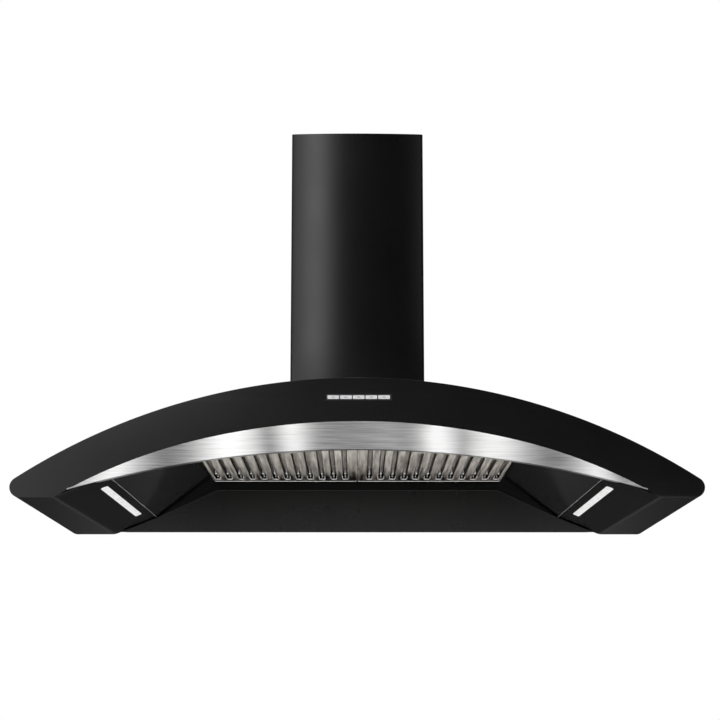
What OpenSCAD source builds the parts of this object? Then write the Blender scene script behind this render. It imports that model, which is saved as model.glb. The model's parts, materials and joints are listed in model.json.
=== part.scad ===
// Wall-mounted chimney range hood: arched canopy, brushed steel band, two baffle
// filters, a radial blower with its duct collar, and a telescopic duct cover.
// Origin: on the wall face, on the centre line, level with the back plate's foot.
// +X is right seen from the room, +Y goes into the wall, +Z is up. Millimetres.

/* [Canopy] */
// Width over the two rounded side tips
canopy_w = 1000; // [960:10:1060]
// Depth from the wall to the front of the steel band
canopy_d = 556; // [540:4:600]
// Height of the arch's crown above the back plate's foot
crown_z = 171; // [168:1:180]
// Height of the flat underside, below the back plate's foot
rim_z = -4; // [-6:1:-3]
// Radius of the rounded side tips
tip_r = 15; // [14:1:20]
// Thickness of the folded steel sheet
sheet_t = 1.2; // [0.8:0.1:1.5]
// Width of the shell's inturned lip under each tip
shell_lip = 5; // [3:1:8]
// Width of the shell's flange behind the fascia
shell_flange = 11; // [8:1:13]

/* [Fascia and band] */
// Thickness of the black front plate
fascia_t = 2; // [1.5:0.1:3]
// Thickness of the steel band
band_t = 1.5; // [1:0.1:2]
// Height of the band's upper edge at the centre
band_top_z = 106.5; // [104:0.5:110]
// Radius of the band's upper edge around the centre
band_crown_r = 985; // [960:5:1010]
// Radius of the band's upper edge towards the tips
band_side_r = 758; // [740:2:770]
// Angle at which the upper edge's two radii meet
band_blend = 13.5; // [12:0.5:15]
// Height of the band's lower edge at the centre
band_low_z = 65.6; // [63:0.2:68]
// Radius of the band's lower edge
band_low_r = 1515; // [1480:5:1560]
// Width of the fascia's margin behind the band
band_lap = 10; // [6:1:14]
// Depth of the band's inturned lower flange
band_flange = 12; // [8:1:16]

/* [Underside] */
// Distance of the pod's inner fold from the centre, at the front
fold_front_x = 437; // [432:1:442]
// Distance of the pod's inner fold from the centre, at the wall
fold_rear_x = 420; // [415:1:425]
// Radius of the pod's inner fold
fold_r = 26; // [10:1:40]
// Distance of the seam beside the lamp from the centre, at the front
seam_front_x = 359; // [355:1:365]
// Distance of the seam beside the lamp from the centre, at the wall
seam_rear_x = 348; // [344:1:352]
// Height of that seam at the wall
seam_rear_z = 25.2; // [22:0.2:28]
// Height of the filter opening's ledge
ledge_z = 86; // [84:0.5:88]
// Clear space between a filter and the ledge's edge
ledge_gap = 0.7; // [0.4:0.1:1.5]
// Height of the ledge's upstand
ledge_h = 8; // [5:1:12]

/* [Rear panel] */
// Distance of the rear panel's face from the wall
rear_panel_y = 13.2; // [12:0.2:16]
// Height of the rear panel's top edge
rear_panel_z = 71.8; // [68:0.2:75]
// Half width of the rear panel's top edge
rear_panel_x = 243; // [235:1:250]
// Height of the rear panel's bottom edge
rear_foot_z = -0.5; // [-1:0.1:0]
// Clear height between the rear panel and the underside's panels
rear_panel_gap = 2; // [1:0.5:4]

/* [Filters] */
// Width of one baffle filter
filter_w = 246.5; // [244:0.5:250]
// Clear space between the two filters
filter_split = 2; // [1:0.5:4]
// Distance of the filters' rear edge from the wall
filter_rear_y = 20; // [20:1:24]
// Length of a filter from rear to front
filter_len = 380; // [360:4:400]
// Height of a filter's frame
filter_h = 15; // [14:0.5:16]
// Thickness of the filter's steel
filter_t = 0.8; // [0.6:0.1:1]
// Number of gaps across one filter
gap_count = 12; // [10:1:12]
// Distance from one gap to the next
gap_pitch = 19.85; // [19.6:0.05:20]
// Width of one gap
gap_w = 8.2; // [7.6:0.1:8.8]
// Distance of the first gap's middle from the hood's centre
gap_first = 20.3; // [20:0.1:21]
// Width of the frame's plain strip at the wall end
strip_rear = 30; // [26:1:40]
// Width of the frame's plain strip at the front end
strip_front = 34; // [32:1:40]
// Height of the lower channels' side walls
channel_h = 8; // [6:0.5:9]
// Overlap of an upper channel past each side of its gap
channel_lap = 2; // [1.6:0.1:2.4]

/* [Filter hinge and latch] */
// Radius of the hinge rod behind the filters
rod_r = 2.5; // [2:0.1:3]
// Distance of the hinge rod from the wall
rod_y = 13.5; // [13:0.1:14]
// Height of the hinge rod
rod_z = 97; // [96:0.5:98]
// Running clearance of the filter's clips on the rod
rod_fit = 0.06; // [0.03:0.01:0.1]
// Width of one clip
clip_w = 12; // [8:1:16]
// Width of a latch's slider
latch_w = 48; // [40:1:56]
// Travel of a latch's slider
latch_travel = 4; // [3:0.5:5]

/* [Lamps] */
// Length of a lamp's lens
lamp_len = 370; // [340:5:390]
// Width of a lamp's lens
lamp_w = 10.8; // [9:0.2:13]
// Distance of the lens's middle line from the seam
lamp_from_seam = 17.8; // [16:0.2:22]
// Distance of the lens's middle from the wall
lamp_mid_y = 290; // [280:5:300]
// Thickness of the lens
lamp_t = 2; // [1.6:0.1:3]
// Height of the lamp's channel above the sheet
lamp_box_h = 11; // [9:0.5:14]

/* [Controls] */
// Number of push keys
key_count = 5; // [4:1:5]
// Width of one key
key_w = 17; // [15:0.5:18]
// Height of one key
key_h = 5.3; // [5:0.1:7]
// Gap between two keys
key_gap = 1.4; // [1.2:0.1:2]
// Height of the keys' middle
key_z = 142; // [138:1:146]
// Offset of the key row from the centre line
key_x = 2; // [-5:0.5:5]
// How far a key stands out of the fascia
key_proud = 0.8; // [0.4:0.1:1.4]
// Travel of a key
key_travel = 1.5; // [1:0.1:1.6]
// Clear space round a key in its guide
key_fit = 0.3; // [0.2:0.05:0.4]

/* [Blower] */
// Distance of the impeller's axis behind the collar's axis
blower_back = 27; // [25:1:29]
// Height of the impeller's axis
blower_z = 200; // [198:1:204]
// Inside width of the scroll housing
scroll_w = 144; // [140:1:148]
// Radius of the scroll at its tongue
scroll_r0 = 76; // [75:0.5:78]
// Radius of the scroll where it meets the outlet
scroll_r1 = 102; // [100:0.5:104]
// Outer radius of the impeller
impeller_r = 66; // [62:1:68]
// Inner radius of the impeller's blades
blade_r = 54; // [50:1:56]
// Number of blades
blade_count = 32; // [24:1:36]
// Length of the impeller
impeller_w = 126; // [120:1:130]
// Radius of the inlet in each side plate
inlet_r = 50; // [47:1:51]
// Radius of the motor
motor_r = 38; // [34:1:42]
// Radius of the motor's shaft
shaft_r = 4; // [3:0.5:5]
// Running clearance of the shaft
shaft_fit = 0.05; // [0.02:0.01:0.1]

/* [Electrics] */
// Distance of the control box and the lamp driver from the centre
box_in_x = 118; // [116:1:122]
// Width of the control box
box_w = 77; // [60:1:80]
// Depth of the control box
box_d = 62; // [50:1:80]
// Height of the control box
box_h = 28; // [22:1:29]
// Height of the electrics above the back plate's foot
box_z = 109; // [108:1:112]
// Width of the lamp driver
driver_w = 73; // [60:1:80]
// Depth of the lamp driver
driver_d = 45; // [35:1:60]
// Height of the lamp driver
driver_h = 22; // [18:1:28]
// Radius of the cable gland's thread
gland_r = 7; // [6:0.5:8]
// Length of the cable gland inside the box
gland_seat = 8; // [6:1:10]
// Radius of the cable that the gland takes
cable_r = 4.5; // [3:0.1:5]

/* [Duct collar] */
// Outer radius of the collar, for a 150 mm duct
collar_r = 75; // [74:0.5:76]
// Distance of the collar's axis behind the duct cover's front
collar_back = 100; // [99:1:101]
// Height of the collar above the blower
collar_h = 67; // [60:1:75]
// Height of the blower's outlet
outlet_z = 305; // [303:1:310]
// Height of the damper's pin above the outlet
damper_up = 17; // [15:1:22]
// Radius of the damper's pin
damper_pin_r = 2; // [1.5:0.1:2.5]

/* [Duct cover] */
// Width of the duct cover
cover_w = 218; // [216:1:230]
// Depth of the duct cover
cover_d = 255; // [253:1:265]
// Height of the duct cover's top edge
cover_top_z = 640; // [620:10:700]
// Radius of the duct cover's bowed front
cover_bow_r = 1200; // [900:50:1600]
// Radius of the duct cover's upright corners
cover_corner_r = 4; // [3.5:0.5:10]
// Width of the cover's return flanges at the wall
cover_return = 15; // [12:1:18]
// Clear space between the cover and the sliding section in it
cover_gap = 0.6; // [0.4:0.1:0.8]
// Length of the sliding section
slider_len = 387; // [360:1:390]
// Distance of the sliding section's top below the cover's top
slider_drop = 8; // [4:1:12]
// Clear space between the cover's foot and the canopy
seat_gap = 0.3; // [0.2:0.05:0.5]

/* [Wall fixings] */
// Half the distance between the two hanging holes
hang_x = 215; // [205:1:220]
// Height of the hanging holes
hang_z = 126; // [122:1:128]
// Radius of the hanging holes
hang_r = 4.5; // [4:0.1:5]
// Half the distance between the two safety screws' holes
safety_x = 105; // [100:1:110]
// Height of the safety screws' holes
safety_z = 120; // [118:1:126]
// Radius of the safety screws' holes
safety_r = 3.2; // [2.5:0.1:3.5]
// Half the distance between the cover bracket's holes
bracket_x = 60; // [50:1:75]
// Height of the cover bracket's holes
bracket_z = 608; // [596:1:612]
// Radius of the cover bracket's holes
bracket_r = 3; // [2.5:0.1:3.5]

/* [Hidden] */
$fn = 48;
arc_fn = 720;

satin_black = [0.07, 0.07, 0.075];
steel = [0.78, 0.78, 0.77];
zinc = [0.62, 0.64, 0.66];
lamp_white = [0.97, 0.97, 0.93];

// Places that follow from the driving sizes
shell_d = canopy_d - band_t - fascia_t;
fascia_y = canopy_d - band_t;
tip_x = canopy_w / 2 - tip_r;
tip_z = rim_z + tip_r;
tip_rise = crown_z - tip_z;
arch_r = (tip_x * tip_x + tip_rise * tip_rise - tip_r * tip_r) / (2 * (tip_rise - tip_r));
arch_cz = crown_z - arch_r;
tip_deg = asin(tip_x / (arch_r - tip_r));
lip_x = tip_x - shell_lip;
close_fit = 0.15;
sheet_gap = 0.3;
lamp_seat = 0.1;
// Rounded outlines cross by this much where they would only just touch
blend = 0.01;
board_t = 1.6;
over = 1;

// Band outline: two tangent radii above, one radius below
band_cz = band_top_z - band_crown_r;
band_side_x = (band_crown_r - band_side_r) * sin(band_blend);
band_side_cz = band_cz + (band_crown_r - band_side_r) * cos(band_blend);
band_low_cz = band_low_z - band_low_r;
band_end = circle_cross([band_side_x, band_side_cz], band_side_r, [0, band_low_cz], band_low_r);

// Underside: one lamp panel plane and one side panel plane on each side
lamp_slope = (seam_rear_z - rim_z) / (fold_rear_x - seam_rear_x);
filter_x0 = filter_split / 2;
filter_x1 = filter_x0 + filter_w;
ledge_x = filter_x1 + ledge_gap;
ledge_rear_x = ledge_x + 0.6;
side_slope = (ledge_z - seam_rear_z) / (seam_rear_x - ledge_rear_x);
filter_z0 = ledge_z + 0.5;
filter_z1 = filter_z0 + filter_h;
filter_front_y = filter_rear_y + filter_len;
front_panel_y = filter_front_y + 2;
fold_steps = 6;

// Duct cover outline
cover_corner_x = cover_w / 2 - cover_corner_r;
cover_corner_drop = cover_bow_r
    - sqrt(pow(cover_bow_r - cover_corner_r, 2) - cover_corner_x * cover_corner_x);
cover_corner_deg = asin(cover_corner_x / (cover_bow_r - cover_corner_r));
wall_gap = 0.5;
slider_inset = sheet_t + cover_gap;
slider_top_z = cover_top_z - slider_drop;
slider_foot_z = slider_top_z - slider_len;

// Blower
tongue_deg = 50;
scroll_sweep = 230;
scroll_step = 10;
side_x = scroll_w / 2 + sheet_t;
collar_y = cover_d - collar_back;
blower_y = collar_y - blower_back;
outlet_front = blower_y + scroll_r1;
outlet_rear = 2 * collar_y - outlet_front;
collar_top_z = outlet_z + sheet_t + collar_h;
damper_z = outlet_z + damper_up;
damper_r = collar_r - sheet_t - 1.3;
knuckle_r = damper_pin_r + 1.4;
knuckle_w = 28;
knuckle_gap = 6;
hole_back = 88;

// Keys
key_row_w = key_count * key_w + (key_count - 1) * key_gap;
guide_t = 1.6;
guide_rear_y = shell_d - 9.3;
switch_h = 2;
key_rear_y = guide_rear_y + switch_h + key_travel + sheet_gap;

function circle_cross(a, ra, b, rb) =
    let (d = norm(b - a), k = (ra * ra - rb * rb + d * d) / (2 * d),
         h = sqrt(ra * ra - k * k), u = (b - a) / d)
    let (p = a + k * u)
    [abs(p[0] + h * u[1]) > abs(p[0] - h * u[1]) ? abs(p[0] + h * u[1]) : abs(p[0] - h * u[1]),
     p[0] + h * u[1] > p[0] - h * u[1] ? p[1] - h * u[0] : p[1] + h * u[0]];
function unit(v) = v / norm(v);
function arch_z(x) = arch_cz + sqrt(arch_r * arch_r - x * x);
function low_edge_z(x) = band_low_cz + sqrt(band_low_r * band_low_r - x * x);
function fold_x(y) = fold_rear_x + (fold_front_x - fold_rear_x) * y / canopy_d;
function seam_x(y) = seam_rear_x + (seam_front_x - seam_rear_x) * y / canopy_d;
function seam_z(y) = rim_z + lamp_slope * (fold_x(y) - seam_x(y));
function lamp_z(x, y) = rim_z + lamp_slope * (fold_x(y) - x);
function ledge_top_x(y) = seam_x(y) - (ledge_z - seam_z(y)) / side_slope;
function side_panel_x(z, y) = seam_x(y) - (z - seam_z(y)) / side_slope;
function gap_x(i) = gap_first + i * gap_pitch;
function key_mid_x(i) = key_x - key_row_w / 2 + key_w / 2 + i * (key_w + key_gap);

// Front-view outline between two distances from the wall
module along_y(from, to) {
    translate([0, -from, 0]) rotate([90, 0, 0]) linear_extrude(height = to - from) children();
}

// Side-view outline, drawn as distance from the wall and height, between two X places
module along_x(from, to) {
    translate([from, 0, 0]) rotate([90, 0, -90]) mirror([0, 0, 1])
        linear_extrude(height = to - from) children();
}

module bar(x0, x1, y0, y1, z0, z1) {
    translate([x0, -y1, z0]) cube([x1 - x0, y1 - y0, z1 - z0]);
}

module rod_x(x0, x1, y, z, r) {
    translate([x0, -y, z]) rotate([0, 90, 0]) cylinder(r = r, h = x1 - x0);
}

module both_sides() {
    for (side = [0, 1]) mirror([side, 0, 0]) children();
}

// Canopy section: arch, two rounded tips and the flat underside
module canopy_2d(inset = 0) {
    reach = 3 * tip_r;
    apex = crown_z + tip_x / 2;
    side_tip = [tip_x + reach * sin(tip_deg), tip_z + reach * cos(tip_deg)];
    intersection() {
        translate([0, arch_cz]) circle(r = arch_r - inset, $fn = arc_fn);
        polygon([[-tip_x, rim_z + inset], [tip_x, rim_z + inset], [tip_x, tip_z],
                 side_tip, [0, apex], [-side_tip[0], side_tip[1]], [-tip_x, tip_z]]);
    }
    for (side = [-1, 1]) translate([side * tip_x, tip_z]) circle(r = tip_r - inset + blend);
}

module underside_cut_2d() {
    translate([-lip_x, rim_z - over]) square([2 * lip_x, tip_z - rim_z + over]);
}

module canopy_shell() {
    hole_x = side_x + 5;
    color(satin_black) difference() {
        union() {
            along_y(0, shell_d) difference() {
                canopy_2d();
                canopy_2d(sheet_t);
                underside_cut_2d();
            }
            along_y(shell_d - sheet_t, shell_d) difference() {
                canopy_2d(sheet_t / 2);
                canopy_2d(shell_flange);
                underside_cut_2d();
            }
        }
        bar(-hole_x, hole_x, blower_y - hole_back, outlet_front + 10, crown_z / 2, crown_z + over);
    }
}

// Area under the band's upper edge, lowered by a drop
module under_band_2d(drop = 0) {
    wedge = 2 * band_crown_r;
    intersection() {
        translate([-canopy_w / 2, rim_z - over]) square([canopy_w, crown_z]);
        union() {
            intersection() {
                translate([0, band_cz]) circle(r = band_crown_r - drop, $fn = arc_fn);
                translate([0, band_cz]) polygon([[0, 0],
                    [wedge * sin(band_blend), wedge * cos(band_blend)],
                    [-wedge * sin(band_blend), wedge * cos(band_blend)]]);
            }
            for (side = [-1, 1]) intersection() {
                translate([side * band_side_x, band_side_cz])
                    circle(r = band_side_r - drop, $fn = arc_fn);
                translate([side > 0 ? 0 : -canopy_w, rim_z - over]) square([canopy_w, crown_z]);
            }
        }
    }
}

// Area under the band's lower edge, raised by a lift, between the band's ends
module under_edge_2d(lift = 0) {
    intersection() {
        translate([0, band_low_cz]) circle(r = band_low_r + lift, $fn = arc_fn);
        translate([-band_end[0], rim_z - over]) square([2 * band_end[0], crown_z]);
    }
}

module key_window_2d(margin) {
    translate([key_x - key_row_w / 2 - margin, key_z - key_h / 2 - margin])
        square([key_row_w + 2 * margin, key_h + 2 * margin]);
}

module front_fascia() {
    color(satin_black) along_y(shell_d, fascia_y) difference() {
        canopy_2d();
        under_band_2d(band_lap);
        under_edge_2d(band_t + sheet_gap);
        difference() {
            under_band_2d();
            translate([-band_end[0], rim_z - over]) square([2 * band_end[0], crown_z]);
        }
        key_window_2d(guide_t + key_fit);
    }
}

module steel_band() {
    color(steel) {
        along_y(fascia_y, canopy_d) band_2d();
        along_y(canopy_d - band_flange, fascia_y) intersection() {
            difference() {
                under_edge_2d(band_t);
                under_edge_2d();
                above_lamp_panel_2d(canopy_d - band_flange);
            }
            under_band_2d(band_lap / 2);
        }
    }
}

// Area that the underside's lamp panels take up at one distance from the wall
module above_lamp_panel_2d(y) {
    for (side = [-1, 1]) polygon([
        [side * seam_front_x, lamp_z(seam_front_x, y) - sheet_gap],
        [side * canopy_w / 2, lamp_z(canopy_w / 2, y) - sheet_gap],
        [side * canopy_w / 2, crown_z], [side * seam_front_x, crown_z]]);
}

module band_2d() {
    difference() {
        under_band_2d();
        under_edge_2d();
        difference() {
            translate([-canopy_w, rim_z - 2 * over]) square([2 * canopy_w, crown_z]);
            translate([-band_end[0], rim_z - 2 * over]) square([2 * band_end[0], crown_z]);
        }
    }
}

module back_plate() {
    color(satin_black) difference() {
        along_y(0, sheet_t) intersection() {
            canopy_2d(sheet_t + close_fit);
            translate([-canopy_w / 2, 0]) square([canopy_w, crown_z]);
        }
        for (side = [-1, 1]) {
            translate([side * hang_x, over, hang_z]) rotate([90, 0, 0])
                cylinder(r = hang_r, h = sheet_t + 2 * over);
            translate([side * safety_x, over, safety_z]) rotate([90, 0, 0])
                cylinder(r = safety_r, h = sheet_t + 2 * over);
        }
    }
}

module rear_panel() {
    fold_in = fold_x(rear_panel_y) - (rear_foot_z + rear_panel_gap - rim_z) / lamp_slope;
    seam_in = seam_x(rear_panel_y) - rear_panel_gap;
    seam_low = seam_z(rear_panel_y) - rear_panel_gap / 2;
    color(satin_black) {
        along_y(rear_panel_y - sheet_t, rear_panel_y) polygon([
            [-fold_in, rear_foot_z], [fold_in, rear_foot_z], [seam_in, seam_low],
            [rear_panel_x, rear_panel_z], [-rear_panel_x, rear_panel_z], [-seam_in, seam_low]]);
        bar(-fold_in + 6, fold_in - 6, sheet_t, rear_panel_y - sheet_t / 2,
            rear_foot_z, rear_foot_z + sheet_t);
    }
}

// One side's underside: a folded sheet swept from its rear section to its front section
function fold_arc(y, r) =
    let (a = atan(lamp_slope), run = r * tan(a / 2))
    [for (i = [0 : fold_steps]) let (t = a * i / fold_steps)
        [fold_x(y) + run - r * sin(t), rim_z + r - r * cos(t)]];
function under_line(y) = concat([[lip_x - sheet_gap, rim_z]], fold_arc(y, fold_r),
    [[seam_x(y), seam_z(y)], [ledge_top_x(y), ledge_z]]);
function upper_line(y) =
    let (lamp_up = sheet_t / cos(atan(lamp_slope)), side_up = sheet_t / cos(atan(side_slope)),
         seam_up = (lamp_up - side_up) / (side_slope - lamp_slope))
    concat([[ledge_top_x(y) + side_up / side_slope, ledge_z],
     [seam_x(y) - seam_up, seam_z(y) + lamp_up + seam_up * lamp_slope]],
    [for (i = [fold_steps : -1 : 0]) let (a = atan(lamp_slope), t = a * i / fold_steps,
            run = fold_r * tan(a / 2))
        [fold_x(y) + run - (fold_r - sheet_t) * sin(t), rim_z + fold_r - (fold_r - sheet_t) * cos(t)]],
    [[lip_x - sheet_gap, rim_z + sheet_t]]);
function tray_line(y) = concat(under_line(y), upper_line(y));

// Both ends are strips of quads between the lower line and the upper line
module sweep_y(rear, front, y0, y1) {
    n = len(rear);
    polyhedron(
        points = concat([for (p = rear) [p[0], -y0, p[1]]], [for (p = front) [p[0], -y1, p[1]]]),
        faces = concat([for (i = [0 : n / 2 - 2]) [n - 1 - i, n - 2 - i, i + 1, i]],
            [for (i = [0 : n / 2 - 2]) [n + i, n + i + 1, 2 * n - 2 - i, 2 * n - 1 - i]],
            [for (i = [0 : n - 1]) [i, (i + 1) % n, n + (i + 1) % n]],
            [for (i = [0 : n - 1]) [i, n + (i + 1) % n, n + i]]));
}

module underside(side) {
    mirror([side, 0, 0]) difference() {
        union() {
            sweep_y(tray_line(sheet_t), tray_line(shell_d - sheet_gap),
                sheet_t, shell_d - sheet_gap);
            filter_ledge(2 * sheet_t, front_panel_y - sheet_gap);
        }
        on_lamp_plane() translate([0, 0, -over]) linear_extrude(height = sheet_t + 2 * over)
            lamp_2d(sheet_gap / 2);
    }
}

// Flange and upstand beside the filter, from the side panel's top edge inwards
module filter_ledge(y0, y1) {
    low_z = ledge_z - 0.1;
    translate([0, 0, low_z]) linear_extrude(height = ledge_z + sheet_t - low_z) polygon([
        [ledge_x, -y0], [ledge_top_x(y0) + sheet_t, -y0],
        [ledge_top_x(y1) + sheet_t, -y1], [ledge_x, -y1]]);
    bar(ledge_x, ledge_x + sheet_t, y0, y1, low_z, ledge_z + ledge_h);
}

module underside_left() { color(satin_black) underside(1); }
module underside_right() { color(satin_black) underside(0); }

// Local frame of the lamp: x across, away from the seam; y to the room; z up through the sheet
module on_lamp_plane() {
    mid_x = seam_x(lamp_mid_y) + lamp_from_seam;
    along = unit([(seam_front_x - seam_rear_x) / canopy_d, -1,
                  (seam_z(canopy_d) - seam_rear_z) / canopy_d]);
    up = unit(cross([-1, 0, lamp_slope], along));
    across = cross(along, up);
    multmatrix([[across[0], along[0], up[0], mid_x],
                [across[1], along[1], up[1], -lamp_mid_y],
                [across[2], along[2], up[2], lamp_z(mid_x, lamp_mid_y)],
                [0, 0, 0, 1]]) children();
}

// Lens outline: full round towards the room, small round corners towards the wall
module lamp_2d(grow = 0) {
    half = lamp_w / 2 + grow;
    end = lamp_len / 2 + grow;
    soft = lamp_w / 4;
    translate([0, end - half]) circle(r = half);
    translate([-half, soft - end]) square([2 * half, 2 * end - half - soft]);
    translate([soft - half, -end]) square([2 * (half - soft), end]);
    for (side = [-1, 1]) translate([side * (half - soft), soft - end]) circle(r = soft);
}

module lamp_lens(side) {
    color(lamp_white) mirror([side, 0, 0]) on_lamp_plane()
        translate([0, 0, -sheet_gap]) linear_extrude(height = lamp_t + sheet_gap) lamp_2d();
}

module lamp_channel(side) {
    half = lamp_w / 2 + 1.5;
    end = lamp_len / 2 + 2;
    color(zinc) mirror([side, 0, 0]) on_lamp_plane() difference() {
        translate([-half, -end, sheet_t + lamp_seat]) cube([2 * half, 2 * end, lamp_box_h]);
        translate([-half + over, -end + over, sheet_t + lamp_seat - over])
            cube([2 * (half - over), 2 * (end - over), lamp_box_h]);
    }
}

module lamp_board(side) {
    half = lamp_w / 2;
    color("seagreen") mirror([side, 0, 0]) on_lamp_plane()
        translate([-half, -lamp_len / 2, sheet_t + lamp_seat + lamp_box_h - over - 0.2 - board_t])
        cube([2 * half, lamp_len, board_t]);
}

module lamp_lens_left() { lamp_lens(1); }
module lamp_lens_right() { lamp_lens(0); }
module lamp_channel_left() { lamp_channel(1); }
module lamp_channel_right() { lamp_channel(0); }
module lamp_board_left() { lamp_board(1); }
module lamp_board_right() { lamp_board(0); }

// Sloping sheet from the filters' front edge down to the back of the steel band
module front_panel() {
    low_y = canopy_d - band_flange - sheet_gap;
    low_z = band_low_z + band_t + sheet_gap;
    top_x = side_panel_x(ledge_z + 1.5 * sheet_t, front_panel_y) - sheet_gap;
    low_x = side_panel_x(low_z + 1.5 * sheet_t, low_y) - sheet_gap;
    fall = atan((ledge_z - low_z) / (low_y - front_panel_y));
    run = (low_y - front_panel_y) / cos(fall);
    color(satin_black) {
        translate([0, -front_panel_y, ledge_z]) rotate([180 - fall, 0, 0]) mirror([0, 0, 1])
            linear_extrude(height = sheet_t)
            polygon([[-top_x, 0], [top_x, 0], [low_x, run], [-low_x, run]]);
        bar(-ledge_x + over, ledge_x - over, front_panel_y, front_panel_y + sheet_t,
            ledge_z, ledge_z + filter_h);
    }
}

rail_h = 14;
rail_in = 6;
eye_h = 8;
eye_in = 12;

module hinge_rail() {
    tab_x = [gap_first, (filter_x0 + filter_x1) / 2, filter_x1 - eye_in];
    color(zinc) difference() {
        union() {
            bar(-filter_x1 + rail_in, filter_x1 - rail_in, sheet_t, 2 * sheet_t,
                rod_z - rail_h / 2, rod_z + rail_h / 2);
            both_sides() for (x = tab_x)
                bar(x - over, x + over, sheet_t, rod_y + rod_r + over,
                    rod_z - eye_h / 2, rod_z + eye_h / 2);
        }
        rod_x(-filter_x1, filter_x1, rod_y, rod_z, rod_r + rod_fit);
    }
}

module hinge_rod() {
    color(zinc) rod_x(-filter_x1 + 8, filter_x1 - 8, rod_y, rod_z, rod_r);
}

// Filter parts are drawn for the right side
module filter_frame(side) {
    y0 = filter_rear_y;
    y1 = filter_front_y;
    window_x0 = gap_x(0) - gap_w / 2;
    window_x1 = gap_x(gap_count - 1) + gap_w / 2;
    clip_r = rod_r + 1.7;
    mid = (filter_x0 + filter_x1) / 2;
    color(steel) mirror([side, 0, 0]) difference() {
        union() {
            difference() {
                bar(filter_x0, filter_x1, y0, y1, filter_z0, filter_z1);
                bar(filter_x0 + filter_t, filter_x1 - filter_t, y0 + filter_t, y1 - filter_t,
                    filter_z0 + filter_t, filter_z1 + over);
                bar(window_x0, window_x1, y0 + strip_rear, y1 - strip_front,
                    filter_z0 - over, filter_z0 + over);
            }
            for (x = [mid - filter_w / 4, mid + filter_w / 4]) {
                rod_x(x - clip_w / 2, x + clip_w / 2, rod_y, rod_z, clip_r);
                bar(x - clip_w / 2, x + clip_w / 2, rod_y, y0 + filter_t / 2,
                    rod_z + rod_r - over, rod_z + clip_r);
            }
        }
        rod_x(filter_x0, filter_x1, rod_y, rod_z, rod_r + rod_fit);
        bar(filter_x0, filter_x1, rod_y - 0.8 * rod_r, rod_y + 0.8 * rod_r,
            rod_z - 2 * rod_r, rod_z);
        bar(mid - latch_w / 2 + 6, mid + latch_w / 2 - 6, y1 - 16, y1 - 5,
            filter_z0 - over, filter_z0 + over);
        bar(mid - 8 - sheet_gap, mid + 8 + sheet_gap, y1 - over, y1 + over,
            filter_z0 + filter_t + 0.1, filter_z0 + filter_t + 3.5);
    }
}

module filter_frame_left() { filter_frame(1); }
module filter_frame_right() { filter_frame(0); }

// Lower channels: open upwards, one between each two gaps
module lower_baffles(side) {
    y0 = filter_rear_y + filter_t + sheet_gap;
    y1 = filter_front_y - strip_front + 10;
    z0 = filter_z0 + filter_t;
    color(steel) mirror([side, 0, 0]) for (i = [0 : gap_count - 2]) {
        x0 = gap_x(i) + gap_w / 2;
        x1 = gap_x(i + 1) - gap_w / 2;
        difference() {
            bar(x0, x1, y0, y1, z0, z0 + channel_h);
            bar(x0 + filter_t, x1 - filter_t, y0 - over, y1 + over,
                z0 + filter_t, z0 + channel_h + over);
        }
    }
}

module lower_baffles_left() { lower_baffles(1); }
module lower_baffles_right() { lower_baffles(0); }

// Upper channels: open downwards over the gaps, carried by two tie bars
module upper_baffles(side) {
    y0 = filter_rear_y + filter_t + sheet_gap;
    y1 = filter_front_y - strip_front + 6;
    half = gap_w / 2 + filter_t + channel_lap;
    web_z = filter_z1 - 2;
    foot_z = filter_z0 + filter_t + channel_h - 3;
    inner_x = filter_x0 + filter_t + sheet_gap;
    outer_x = filter_x1 - filter_t - sheet_gap;
    color(steel) mirror([side, 0, 0]) {
        for (i = [0 : gap_count - 1]) {
            x0 = max(gap_x(i) - half, inner_x);
            x1 = min(gap_x(i) + half, outer_x);
            difference() {
                bar(x0, x1, y0, y1, foot_z, web_z);
                bar(x0 + filter_t, x1 - filter_t, y0 - over, y1 + over,
                    foot_z - over, web_z - filter_t);
            }
        }
        for (y = [y0 + 2, y1 - 14])
            bar(inner_x, outer_x, y, y + 12, web_z - 0.2, web_z + filter_t);
    }
}

module upper_baffles_left() { upper_baffles(1); }
module upper_baffles_right() { upper_baffles(0); }

// Spring latch: a slider on the front strip, its nose through the frame's front wall
module filter_latch(side) {
    mid = (filter_x0 + filter_x1) / 2;
    y1 = filter_front_y - filter_t - sheet_gap;
    z0 = filter_z0 + filter_t + sheet_gap;
    color(zinc) mirror([side, 0, 0]) {
        bar(mid - latch_w / 2, mid + latch_w / 2, y1 - 15, y1, z0, z0 + 3);
        bar(mid - 8, mid + 8, y1 - over, front_panel_y - sheet_gap, z0 + 0.2, z0 + 2.8);
        bar(mid - latch_w / 2 + 8, mid + latch_w / 2 - 8, y1 - 6, y1 - 4.5,
            filter_z0 + 0.2, z0 + over);
    }
}

module filter_latch_left() { filter_latch(1); }
module filter_latch_right() { filter_latch(0); }

module key_guide() {
    half_w = key_row_w / 2 + 5;
    half_h = key_h / 2 + 5;
    color(satin_black) along_y_steps() {
        key_window_2d(guide_t);
        translate([key_x - half_w, key_z - half_h]) square([2 * half_w, 2 * half_h]);
        key_holes_2d(key_fit);
        key_holes_2d(key_fit + 0.6);
    }
}

// Guide block: a front plate in the fascia's window, a body behind it, stepped key holes
module along_y_steps() {
    pocket_y = key_rear_y + over + 0.4;
    difference() {
        union() {
            along_y(shell_d - over, fascia_y) children(0);
            along_y(guide_rear_y, shell_d - sheet_gap) children(1);
        }
        along_y(guide_rear_y - over, fascia_y + over) children(2);
        along_y(guide_rear_y - over, pocket_y) children(3);
    }
}

module key_holes_2d(grow) {
    for (i = [0 : key_count - 1])
        translate([key_mid_x(i) - key_w / 2 - grow, key_z - key_h / 2 - grow])
            square([key_w + 2 * grow, key_h + 2 * grow]);
}

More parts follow.
